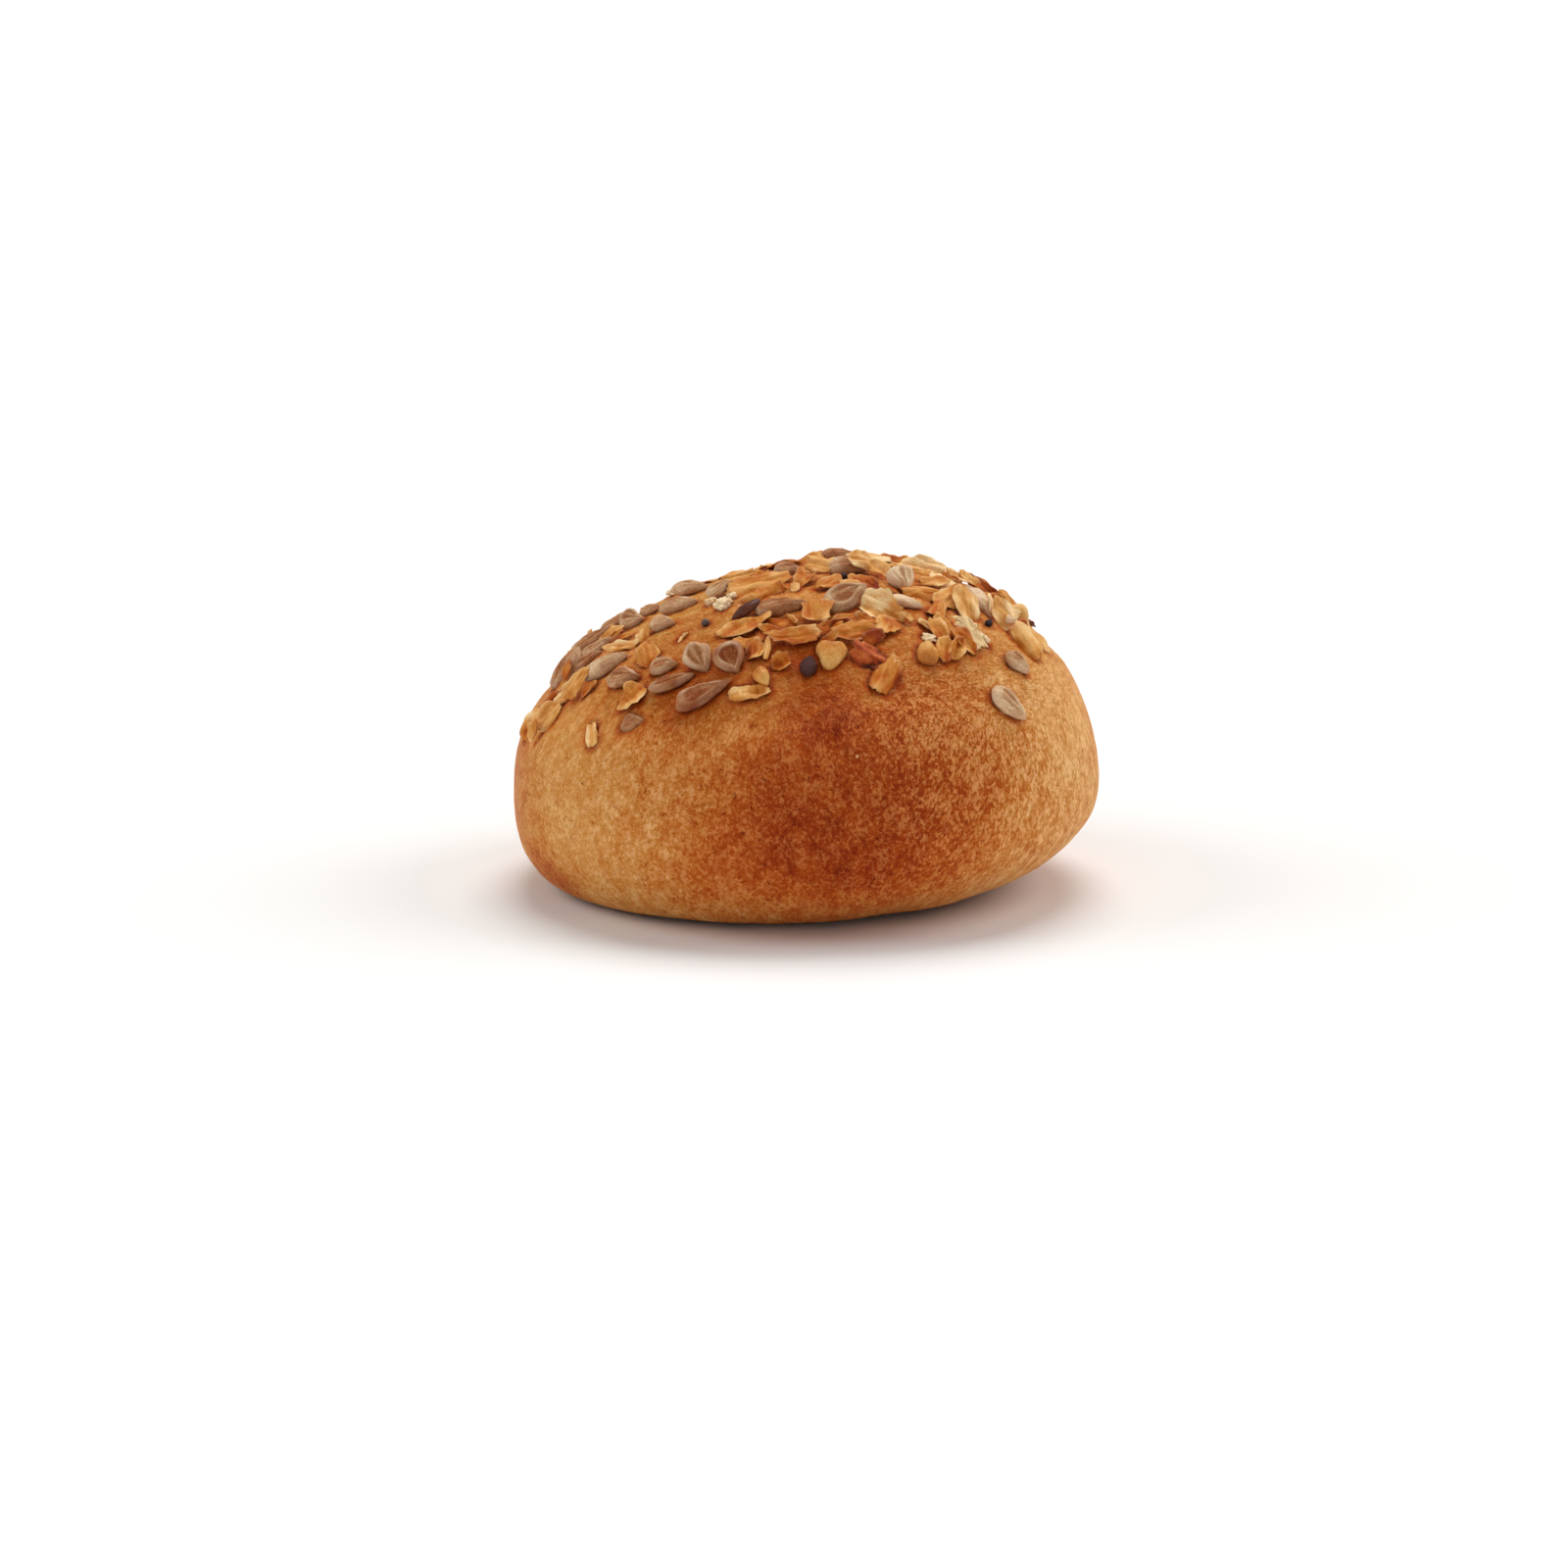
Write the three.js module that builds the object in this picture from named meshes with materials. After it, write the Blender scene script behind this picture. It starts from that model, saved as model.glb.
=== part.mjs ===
// A round bread roll (pogaca) with a domed top and a flat underside, as it came off the baking tray.
// It is one solid piece, uncut. Its seed topping is finer than this solid and is not part of it.
// Millimetres, +Z up. The front of the roll faces -Y and +X is to its right, seen from the front.
// The origin is the middle of its footprint, on the flat face it rests on.
import * as THREE from "three";
import { mergeVertices } from "three/addons/utils/BufferGeometryUtils.js";

// Driving dimensions.
const rollWidth = 90; // at its widest, side to side
const rollDepth = 88; // at its widest, front to back
const rollHeight = 49.5; // of the crust, from the tray to the crown
const bulgeHeight = 16.3; // of the widest line above the tray, a third of the way up
const restReach = 20.6; // how far below that line the dough would hang if the tray did not flatten it
const restEdgeBlend = 2.2; // height over which the underside rounds into the flat base

// Squareness of the two halves of the profile: 2 is an ellipse, more is fuller.
const crownSquareness = 1.98;
const bellySquareness = 2.4;

// The roll leans as it rose: its crown sits to the right of the bulge and its base to the left.
const crownLean = 5.8;
const crownLeanPower = 2.1;
const baseLean = -5.7;

// Broad swellings and hollows left by hand shaping. Each is an azimuth and an elevation in degrees,
// seen from the middle of the bulge, a spread in degrees and a rise in millimetres.
const swellings = [
  { azimuth: 200, elevation: 38, spread: 17, rise: 0.7 },
  { azimuth: 236, elevation: 12, spread: 20, rise: 0.35 },
  { azimuth: 262, elevation: 26, spread: 13, rise: -0.45 },
  { azimuth: 292, elevation: 10, spread: 22, rise: 0.4 },
  { azimuth: 338, elevation: 33, spread: 18, rise: 0.5 },
  { azimuth: 18, elevation: 20, spread: 24, rise: -0.4 },
  { azimuth: 62, elevation: 24, spread: 24, rise: 1.1 },
  { azimuth: 106, elevation: 12, spread: 22, rise: -1.0 },
  { azimuth: 146, elevation: 34, spread: 22, rise: 0.8 },
];

// A short pleat in the skin lifts the edge of the base, a little right of the front.
const pleat = { azimuth: 293, spread: 7, height: 3.2, rise: 1.3 };

// Fineness: each face of an icosahedron is split into this many rows of triangles.
const rowsPerFace = 17;

const halfWidth = rollWidth / 2;
const halfDepth = rollDepth / 2;
const crownReach = rollHeight - bulgeHeight;

// How far the surface lies from the middle of the bulge, along a unit direction.
function reachAlong(direction) {
  const sideways = Math.hypot(direction.x / halfWidth, direction.y / halfDepth);
  const above = direction.z >= 0;
  const upward = Math.abs(direction.z) / (above ? crownReach : restReach);
  const squareness = above ? crownSquareness : bellySquareness;
  return (sideways ** squareness + upward ** squareness) ** (-1 / squareness);
}

// A unit direction from an azimuth and an elevation in degrees.
function towards(azimuth, elevation) {
  const polar = THREE.MathUtils.degToRad(90 - elevation);
  const turn = THREE.MathUtils.degToRad(azimuth);
  return new THREE.Vector3(
    Math.sin(polar) * Math.cos(turn),
    Math.sin(polar) * Math.sin(turn),
    Math.cos(polar),
  );
}

// The rise of every swelling together at one place.
function swellingAt(direction) {
  return swellings.reduce((total, { azimuth, elevation, spread, rise }) => {
    const away = direction.angleTo(towards(azimuth, elevation));
    const share = away / THREE.MathUtils.degToRad(spread);
    return total + rise * Math.exp(-share * share);
  }, 0);
}

// Heights below the tray are pressed flat on it, with a rounded edge.
function pressedHeight(height) {
  if (height >= restEdgeBlend) return height;
  if (height <= -restEdgeBlend) return 0;
  return (height + restEdgeBlend) ** 2 / (4 * restEdgeBlend);
}

// How far the pleat lifts a point near the edge of the base, and nothing in the middle of the base.
function pleatLift(point) {
  const azimuth = THREE.MathUtils.radToDeg(Math.atan2(point.y, point.x));
  const turn = ((azimuth - pleat.azimuth + 540) % 360) - 180;
  const around = Math.exp(-((turn / pleat.spread) ** 2));
  const outward = Math.hypot(point.x / halfWidth, point.y / halfDepth);
  const atEdge = THREE.MathUtils.smoothstep(outward, 0.6, 0.78);
  const nearTray = Math.exp(-point.z / pleat.height);
  return pleat.rise * around * atEdge * nearTray;
}

// The point of the crust that lies in a unit direction from the middle of the bulge.
function crustPoint(direction) {
  const point = direction
    .clone()
    .multiplyScalar(reachAlong(direction) + swellingAt(direction));
  const rise = Math.max(point.z, 0) / crownReach;
  const drop = Math.min(Math.max(-point.z, 0) / bulgeHeight, 1);
  point.x += crownLean * rise ** crownLeanPower + baseLean * drop ** 2;
  point.z = pressedHeight(point.z + bulgeHeight);
  point.z += pleatLift(point);
  return point;
}

// One closed skin, made by moving each corner of a finely split icosahedron out to the crust.
function makeCrust() {
  const split = new THREE.IcosahedronGeometry(1, rowsPerFace - 1);
  split.deleteAttribute("normal");
  split.deleteAttribute("uv");
  const crust = mergeVertices(split, 1e-5);
  const corners = crust.getAttribute("position");
  const direction = new THREE.Vector3();
  for (let i = 0; i < corners.count; i++) {
    direction.fromBufferAttribute(corners, i).normalize();
    corners.setXYZ(i, ...crustPoint(direction).toArray());
  }
  crust.computeBoundingBox();
  const middle = crust.boundingBox.getCenter(new THREE.Vector3());
  crust.translate(-middle.x, -middle.y, 0);
  crust.computeVertexNormals();
  return crust;
}

const crustFinish = new THREE.MeshStandardMaterial({
  color: "#c17e41",
  roughness: 0.55,
  metalness: 0,
});

const roll = new THREE.Mesh(makeCrust(), crustFinish);
roll.name = "roll";

const part = new THREE.Group();
part.add(roll);

export default part;
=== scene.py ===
# A round seeded roll: the fine crust and the topping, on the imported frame.
# Metres, +Z up, the front of the roll to -Y. Seeds are modelled in millimetres and placed on the crust.
import bpy
import bmesh
import math
import random
from mathutils import Matrix, Vector, noise
from mathutils.bvhtree import BVHTree


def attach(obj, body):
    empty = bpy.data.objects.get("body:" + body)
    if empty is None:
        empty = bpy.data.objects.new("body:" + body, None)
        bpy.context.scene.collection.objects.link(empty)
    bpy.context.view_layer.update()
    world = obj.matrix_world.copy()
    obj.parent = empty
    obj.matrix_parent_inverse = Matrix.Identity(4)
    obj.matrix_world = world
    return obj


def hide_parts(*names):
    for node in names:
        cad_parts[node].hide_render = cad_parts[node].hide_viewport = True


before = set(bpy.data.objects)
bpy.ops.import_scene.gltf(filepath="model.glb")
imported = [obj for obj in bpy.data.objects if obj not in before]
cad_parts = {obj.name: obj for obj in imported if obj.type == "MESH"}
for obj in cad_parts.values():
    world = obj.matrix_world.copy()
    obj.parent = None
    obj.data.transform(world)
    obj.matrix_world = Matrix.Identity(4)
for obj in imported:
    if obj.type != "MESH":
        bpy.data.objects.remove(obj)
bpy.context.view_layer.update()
mm = 0.001
noise.seed_set(11)  # or noise vectors would come out another way each time


# ---- camera: a long lens, a little above the table

view = {
    "elevation": math.radians(12.5),
    "distance": 0.75,
    "aim": Vector((-0.0034, 0.0, 0.015)),
    "lens": 111.9,
    "sensor": 36.0,
    "picture": 1600,  # pixels each way, for the places read off the picture
}
sightForward = Vector((0, math.cos(view["elevation"]), -math.sin(view["elevation"])))
sightUp = Vector((0, math.sin(view["elevation"]), math.cos(view["elevation"])))
sightRight = Vector((1, 0, 0))
eye = view["aim"] - sightForward * view["distance"]


def makeCamera():
    data = bpy.data.cameras.new("camera")
    data.lens = view["lens"]
    data.sensor_width = view["sensor"]
    camera = bpy.data.objects.new("camera", data)
    camera.location = eye
    camera.rotation_euler = (math.pi / 2 - view["elevation"], 0, 0)
    bpy.context.scene.collection.objects.link(camera)
    bpy.context.scene.camera = camera


def sightLine(column, row):  # unit direction from the eye through a place in the picture
    perPixel = view["sensor"] / view["lens"] / view["picture"]
    half = view["picture"] / 2
    across, upward = (column - half) * perPixel, (half - row) * perPixel
    return (sightForward + sightRight * across + sightUp * upward).normalized()


makeCamera()
print("camera set")


# ---- crust, finer than the frame's solid

def smoothStep(low, high, value):
    share = min(max((value - low) / (high - low), 0.0), 1.0)
    return share * share * (3 - 2 * share)


def bell(share, steepness=2.0):  # 1 in the middle, fading to 0
    return math.exp(-abs(share) ** steepness)


toppingZone = {
    "edge": 32.0,  # height in mm where the topping ends
    "edgeTilt": 4.2,  # higher to the right, lower to the left
    "edgeWander": 2.6,
    "fade": 3.5,
}

crustRelief = {
    "rounds": 2,  # of subdivision
    "bed": 0.9,  # how far the crust lies below the frame's solid where the topping is
    "hollow": {"at": (668, 618), "reach": 12.0, "depth": 1.2},  # mm, on the left shoulder
    "flank": {"azimuth": 198, "height": 8.0, "reach": 9.0, "rise": 0.8},  # degrees and mm, low on the left
    "swellSize": 15.0, "swell": 0.34,  # mm, broad unevenness
    "lumpSize": 5.5, "lump": 0.10,
    "blisterSize": 1.9, "blister": 0.045,
    "wrinkleSize": 4.2, "wrinkle": 0.22,  # between the seeds
    "dent": 0.22,  # under a seed
    "lip": 0.20, "lipReach": 1.1,  # skin drawn up against a seed
    "poolAndShadeReach": 1.6,  # how far the darker glaze and the painted shade spread from a seed
    "lowest": 1.2,  # the relief fades out below this height
}

# short creases low on the left, in picture places, each with its depth and half width in mm
creases = [
    {"from": (583, 906), "to": (612, 926), "depth": 0.30, "half": 0.6},
    {"from": (636, 902), "to": (662, 930), "depth": 0.22, "half": 0.5},
]


def toppingEdge(point):  # height of the topping's lower edge, at that side of the roll
    turn = math.atan2(point.y, point.x)
    wander = noise.noise(Vector((math.cos(turn), math.sin(turn), 0.3)) * 3.1)
    tilt = toppingZone["edgeTilt"] * math.cos(turn)
    return (toppingZone["edge"] + tilt + toppingZone["edgeWander"] * wander) * mm


def fineCrust():
    solid = bmesh.new()
    solid.from_mesh(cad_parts["roll"].data)
    bmesh.ops.remove_doubles(solid, verts=solid.verts, dist=1e-6)
    coarse = bpy.data.meshes.new("coarseCrust")
    solid.to_mesh(coarse)
    solid.free()
    holder = bpy.data.objects.new("coarseCrust", coarse)
    bpy.context.scene.collection.objects.link(holder)
    finer = holder.modifiers.new("finer", "SUBSURF")
    finer.levels = finer.render_levels = crustRelief["rounds"]
    graph = bpy.context.evaluated_depsgraph_get()
    mesh = bpy.data.meshes.new_from_object(holder.evaluated_get(graph))
    bpy.data.objects.remove(holder)
    for name in ("custom_normal", "UVMap"):
        if name in mesh.attributes:
            mesh.attributes.remove(mesh.attributes[name])
    mesh.materials.clear()
    skin = bmesh.new()
    skin.from_mesh(mesh)
    return skin


def broadRelief(skin):
    skin.normal_update()
    tree = BVHTree.FromBMesh(skin)
    hollow = crustRelief["hollow"]
    middle = tree.ray_cast(eye, sightLine(hollow["at"][0], hollow["at"][1] + 6), 2.0)[0]
    flank = crustRelief["flank"]
    turn = math.radians(flank["azimuth"])
    outward = Vector((math.cos(turn), math.sin(turn), 0))
    side = tree.ray_cast(outward * 0.2 + Vector((0, 0, flank["height"] * mm)), -outward, 0.3)[0]
    moves = []
    for v in skin.verts:
        p = v.co / mm
        glazed = smoothStep(-toppingZone["fade"], toppingZone["fade"], p.z - toppingEdge(v.co) / mm)
        rise = crustRelief["swell"] * noise.noise(p / crustRelief["swellSize"] + Vector((3.1, 0, 0)))
        rise += crustRelief["lump"] * noise.noise(p / crustRelief["lumpSize"])
        rise += crustRelief["blister"] * noise.noise(p / crustRelief["blisterSize"]) * (1 - 0.6 * glazed)
        fold = 1 - abs(noise.noise(p / crustRelief["wrinkleSize"] + Vector((0, 7.7, 0)))) * 2.4
        rise += crustRelief["wrinkle"] * glazed * (fold - 0.5)
        rise -= crustRelief["bed"] * glazed
        rise -= hollow["depth"] * bell((v.co - middle).length / mm / hollow["reach"])
        rise += flank["rise"] * bell((v.co - side).length / mm / flank["reach"])
        moves.append(v.normal * rise * mm * smoothStep(0.0, crustRelief["lowest"], p.z))
    for v, move in zip(skin.verts, moves):
        v.co += move


skin = fineCrust()
broadRelief(skin)
skin.normal_update()
crustTree = BVHTree.FromBMesh(skin)
print("crust refined,", len(skin.faces), "faces")


def crustUnder(column, row, height):
    # where a thing whose middle is that high above the crust shows at a place in the picture
    line = sightLine(column, row)
    step, reach = 0.4 * mm, 0.12
    start = view["distance"] - 0.06
    best = None
    for i in range(int(reach / step)):
        point = eye + line * (start + i * step)
        found, normal, _, away = crustTree.find_nearest(point)
        if (point - found).dot(normal) < 0:
            away = -away
        if best is None or away < best[0]:
            best = (away, found, normal)
        if away <= height:
            break
    return best[1], best[2]


def tangentAlong(heading, normal):  # the direction on the surface that shows at that heading in the picture
    flat = sightRight * math.cos(heading) + sightUp * math.sin(heading)
    facing = -sightForward.dot(normal)
    slide = flat.dot(normal) / max(facing, 0.35)
    along = flat + sightForward * slide
    along -= normal * along.dot(normal)
    return along.normalized()


# ---- topping shapes, in millimetres: +X along the seed, +Z away from the crust

def ball(rounds):  # with the values that a topping's finish reads: edges, shading and the run of its lines
    bm = bmesh.new()
    bmesh.ops.create_icosphere(bm, subdivisions=rounds, radius=1)
    for name in ("rim", "shade", "tone"):
        bm.verts.layers.float.new(name)
    bm.verts.layers.float_vector.new("lines")
    floats = bm.verts.layers.float
    return bm, floats["rim"], floats["shade"], bm.verts.layers.float_vector["lines"]


def discPlace(point):  # a point of the unit ball as reach from the middle, turn and side of a flat disc
    side = 1 if point.z >= 0 else -1
    reach = math.acos(min(1.0, abs(point.z))) / (math.pi / 2)
    return reach, math.atan2(point.y, point.x), side


def randomShift(dice):
    return Vector([dice.uniform(-90, 90) for _ in range(3)])


def trimmed(around, cuts, reach=1.0):  # how far the outline goes that way once straight cuts are made
    sharpness = 10  # of the corners between the cuts
    total = reach ** -sharpness
    for angle, distance in cuts:
        facing = around.x * math.cos(angle) + around.y * math.sin(angle)
        if facing > 0.05:
            total += (facing / distance) ** sharpness
    return total ** (-1 / sharpness)


def fitTo(bm, length, width):  # exactly that long and wide, about its middle
    for axis, side in ((0, length), (1, width)):
        values = [v.co[axis] for v in bm.verts]
        low, high = min(values), max(values)
        for v in bm.verts:
            v.co[axis] = (v.co[axis] - (low + high) / 2) * side / (high - low)
    middle = sum(v.co.z for v in bm.verts) / len(bm.verts)
    bmesh.ops.translate(bm, verts=bm.verts, vec=(0, 0, -middle))


kernelMake = {
    "rounds": 4,
    "thickness": 0.54,  # of the width
    "taper": (0.75, 1.2),  # how pointed
    "domeStart": 3.4, "domeRound": 0.62,  # how far out it stays flat, and how round its edge is
    "facetDepth": 0.09,  # of the flat middle, of the thickness
    "facetEdge": (0.50, 0.68), "facetSlant": 0.12,  # where it ends, as a share of the way out
    "rimLine": 0.08, "rimAt": 0.70, "rimHalf": 0.08,  # mm, the raised line round the facet
    "furrow": 0.34, "furrowHalf": 0.13,
    "ridges": 0.07, "ridgeCount": 11,
    "bow": 0.25,
    "wobble": 0.13, "fineWobble": 0.35,
}


def kernelShape(length, width, dice, cuts=(), facet=None, furrow=None, taper=None, ridge=None):
    bm, rim, shade, lines = ball(kernelMake["rounds"])
    power = taper or dice.uniform(*kernelMake["taper"])
    widest = max(math.sin(t / 50) * math.sin(t / 100) ** power for t in range(1, 157))
    shift = randomShift(dice)
    thickness = width * kernelMake["thickness"] * dice.uniform(0.88, 1.12)
    bow = dice.uniform(-1, 1) * kernelMake["bow"]
    facet = dice.uniform(0.2, 1.0) if facet is None else facet
    furrow = max(0.0, dice.uniform(-1.0, 1.0)) if furrow is None else furrow
    ridge = dice.uniform(0.4, 1.4) if ridge is None else ridge
    phase = dice.uniform(0, 6)
    slant = dice.uniform(-kernelMake["facetSlant"], kernelMake["facetSlant"])
    for v in bm.verts:
        reach, turn, side = discPlace(v.co)
        around = Vector((math.cos(turn), math.sin(turn), 0))
        outline = reach * (1 + 0.05 * noise.noise(around * 1.5 + shift)) * trimmed(around, cuts)
        narrowing = abs(math.sin(turn / 2)) ** power / widest
        alongDisc, acrossDisc = around.x * reach, around.y * reach
        slanted = reach + slant * acrossDisc
        x = around.x * outline * length / 2
        y = around.y * narrowing * outline * width / 2 + bow * (2 * x / length) ** 2
        dome = max(0.0, 1 - reach ** kernelMake["domeStart"]) ** kernelMake["domeRound"]
        inFacet = 1 - smoothStep(*kernelMake["facetEdge"], slanted)
        onLine = bell((slanted - kernelMake["rimAt"]) / kernelMake["rimHalf"])
        z = dome * thickness / 2
        z -= facet * inFacet * kernelMake["facetDepth"] * thickness
        z += facet * onLine * kernelMake["rimLine"]
        inner = 1 - reach ** 2
        z -= furrow * kernelMake["furrow"] * bell((acrossDisc + slant) / kernelMake["furrowHalf"]) * inner
        wave = acrossDisc * kernelMake["ridgeCount"] + phase + 3 * slant * alongDisc
        ridges = ridge * math.cos(wave) * inner
        z += kernelMake["ridges"] * ridges
        p = Vector((x, y, side * z))
        p += noise.noise_vector(p * 0.7 + shift) * kernelMake["wobble"]
        p += noise.noise_vector(p * 2.2 + shift) * kernelMake["wobble"] * kernelMake["fineWobble"]
        patchy = 0.25 + 1.3 * max(0.0, noise.noise(around * 1.3 + shift) + 0.25)
        # paler on the raised line and the outer edge: the kernel's pale rim, with a painted highlight on it
        v[rim] = (onLine * facet + 0.7 * smoothStep(0.66, 0.95, reach)) * patchy
        # darker in the dished facet and the furrow: painted shade; paler on the ridge crests: painted
        # highlight
        v[shade] = 0.13 * facet * inFacet + 0.2 * furrow * bell((acrossDisc + slant) / 0.1)
        v[shade] += 0.3 * noise.noise(Vector((x * 0.35, y * 0.5, 4)) + shift) - 0.08 * ridges
        v[lines] = Vector((x, acrossDisc * width / 2, z))
        v.co = p
    fitTo(bm, length, width)
    return bm


flakeMake = {
    "rounds": 4,
    "small": 4.4,  # shorter ones take a round less
    "thickness": 0.36,
    "squareness": (1.8, 2.8),  # of the outline, 2 is an ellipse
    "cutAt": (0.68, 0.98),  # of the way from the middle to the outline
    "ragged": 0.18,
    "notch": 0.12,
    "fray": 0.045,
    "curl": 0.13,  # mm of rise for each square mm off the long axis
    "bend": 0.034,
    "ripple": 0.52,
    "rib": 0.03, "ribWidth": 0.95,
    "crease": 0.30, "creaseHalf": 0.34,
    "creaseShadeHalf": 0.3,
    "foldBlunt": 0.3,
    "lift": 1.1,  # of the edges
    "ruffle": 0.34,
}


def randomCuts(dice):  # broken straight in a few places
    count = dice.choice((0, 1, 2, 3))
    return [(dice.uniform(0, 2 * math.pi), dice.uniform(*flakeMake["cutAt"])) for _ in range(count)]


def flakeShape(length, width, dice, fold=0.0, foldTurn=0.0, cup=None, cuts=None, across=None, lift=1.0,
               fray=1.0, split=0.0):
    # fold in mm down for each mm off the fold's line, cup in mm up for each square mm off the long axis
    bm, rim, shade, lines = ball(flakeMake["rounds"] - (length < flakeMake["small"]))
    shift = randomShift(dice)
    thickness = flakeMake["thickness"] * dice.uniform(0.8, 1.25)
    squareness = dice.uniform(*flakeMake["squareness"])
    curl = flakeMake["curl"] * dice.uniform(-1.0, 1.2) if cup is None else cup
    bend = flakeMake["bend"] * dice.uniform(-1.8, 0.8)
    crease = flakeMake["crease"] * dice.uniform(0.0, 1.2)
    taper, skew = dice.uniform(-0.35, 0.35), dice.uniform(-0.25, 0.25)
    cuts = randomCuts(dice) if cuts is None else cuts
    across = dice.random() < 0.3 if across is None else across
    folded = Vector((-math.sin(foldTurn), math.cos(foldTurn), 0))
    raised, darker = dice.uniform(0, 2 * math.pi), dice.uniform(0, 2 * math.pi)
    phase = dice.uniform(0, 2 * math.pi)
    for v in bm.verts:
        reach, turn, side = discPlace(v.co)
        around = Vector((math.cos(turn), math.sin(turn), 0))
        edge = (abs(around.x) ** squareness + abs(around.y) ** squareness) ** (-1 / squareness)
        edge = trimmed(around, cuts, edge)
        edge *= 1 + flakeMake["ragged"] * noise.noise(around * 1.2 + shift)
        edge += flakeMake["notch"] * fray * noise.noise(around * 3.4 + shift)
        edge += flakeMake["fray"] * fray * noise.noise(around * 9.0 + shift)
        x = around.x * reach * edge * length / 2
        y = around.y * reach * edge * width / 2 * (1 - taper * around.x)
        z = curl * y * y + bend * x * x
        z += flakeMake["ripple"] * noise.noise(Vector((x * 0.42, y * 0.75, 0)) + shift)
        z += flakeMake["ripple"] * 0.2 * noise.noise(Vector((x * 0.9, y * 1.9, 5)) + shift)
        low = z
        wave = phase + 2.2 * noise.noise(Vector((x * 0.3, y * 0.3, 2)) + shift)
        offLine = (x if across else y) / flakeMake["ribWidth"]
        rib = math.cos(offLine * 2 * math.pi + wave) * (1 - 0.5 * reach)
        z += flakeMake["rib"] * rib
        away = around.x * math.cos(raised) + around.y * math.sin(raised)
        z += flakeMake["lift"] * lift * reach ** 3 * max(0.0, away) ** 2 * 0.6
        z += flakeMake["ruffle"] * lift * reach ** 4 * noise.noise(around * 2.6 + shift * 0.7)
        offCrease = y + skew * x * 0.3
        z -= crease * bell(offCrease / flakeMake["creaseHalf"]) * (1 - reach ** 3)
        bluntness = flakeMake["foldBlunt"]
        z -= fold * (math.hypot(x * folded.x + y * folded.y, bluntness) - bluntness)
        patchy = 0.15 + 1.5 * max(0.0, noise.noise(around * 1.7 + shift) + 0.15)
        # pale edges: the flake's own frayed edge, with a painted glow of light through its thin rim
        v[rim] = smoothStep(0.66, 1.0, reach) * patchy
        # darker where the flake dips low and in the grooves between its ribs, paler on the rib crests:
        # painted shade and highlight
        v[shade] = -0.30 * low + 0.34 * noise.noise(Vector((x * 0.3, y * 0.4, 9)) + shift) - 0.05 * rib
        v[shade] += 0.12 * reach * (around.x * math.cos(darker) + around.y * math.sin(darker))
        # darker along the crease: painted shade
        v[shade] += split * bell(offCrease / flakeMake["creaseShadeHalf"])
        v[lines] = Vector((y, x, z)) if across else Vector((x, y, z))
        z += side * thickness / 2 * math.sqrt(max(0.0, 1 - reach ** 9)) * (1 - 0.45 * reach ** 2)
        v.co = Vector((x, y, z))
    fitTo(bm, length, width)
    return bm


grainMake = {"rounds": 4, "lumpy": 0.2, "thickness": 0.54, "corner": 0.17, "narrow": 0.28}
crumbMake = {"rounds": 4, "lumpy": 0.5, "knobbly": 0.4, "flat": 0.38}
pipMake = {"rounds": 4, "flat": 0.3, "tip": 0.55, "stem": 0.1}
poppyMake = {"rounds": 3, "net": 0.22, "notch": 0.16}


def grainShape(length, width, dice, corners=0.0):  # corners: 0 an egg, 1 a three sided chip
    bm, rim, shade, lines = ball(grainMake["rounds"])
    shift = randomShift(dice)
    for v in bm.verts:
        d = v.co.copy()
        outline = 1 + grainMake["corner"] * corners * math.cos(3 * math.atan2(d.y, d.x))
        thick = width * grainMake["thickness"] * (1 - 0.3 * corners * abs(d.z))
        p = Vector((d.x * length / 2 * outline, d.y * width / 2 * outline, d.z * thick))
        p.y *= 1 - grainMake["narrow"] * (1 - corners) * d.x
        p += noise.noise_vector(p * 0.8 + shift) * grainMake["lumpy"]
        v[rim] = smoothStep(0.62, 1.0, math.hypot(d.x, d.y))
        # paler towards its +X end: a painted highlight
        v[shade] = -0.3 * d.x
        v[lines] = p
        v.co = p
    return bm


def crumbShape(length, width, dice):  # a clot of flour
    bm, rim, _, lines = ball(crumbMake["rounds"])
    shift = randomShift(dice)
    for v in bm.verts:
        d = v.co.copy()
        rough = 1 + crumbMake["lumpy"] * noise.noise(d * 1.5 + shift)
        rough += crumbMake["knobbly"] * noise.noise(d * 3.6 + shift)
        v.co = Vector((d.x * length / 2, d.y * width / 2, d.z * width * crumbMake["flat"])) * rough
        v[rim] = smoothStep(0.9, 1.25, rough)
        v[lines] = v.co
    return bm


def pipShape(length, width, dice, pitted=0.0):  # flax and black seed: a flat drop
    bm, rim, _, lines = ball(pipMake["rounds"])
    shift = randomShift(dice)
    for v in bm.verts:
        d = v.co.copy()
        narrowing = 1 - pipMake["tip"] * max(0.0, d.x) ** 1.6 - pipMake["stem"] * max(0.0, -d.x)
        p = Vector((d.x * length / 2, d.y * width / 2, d.z * width * pipMake["flat"]))
        p.yz *= narrowing
        p *= 1 + pitted * (noise.noise(p * 2.4 + shift) + 0.6 * noise.noise(p * 5.5 + shift))
        v[rim] = smoothStep(0.6, 1.0, abs(d.y))
        v[lines] = p
        v.co = p
    return bm


def poppyShape(length, width, dice):
    bm, _, _, lines = ball(poppyMake["rounds"])
    shift = randomShift(dice)
    for v in bm.verts:
        d = v.co.copy()
        net = 1 - abs(noise.noise(d * 4.5 + shift)) * poppyMake["net"]
        kidney = 1 - poppyMake["notch"] * bell((d - Vector((0, -1, 0))).length / 0.5)
        v.co = Vector((d.x * length / 2, d.y * width / 2, d.z * width / 2)) * net * kidney
        v[lines] = v.co
    return bm


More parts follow.
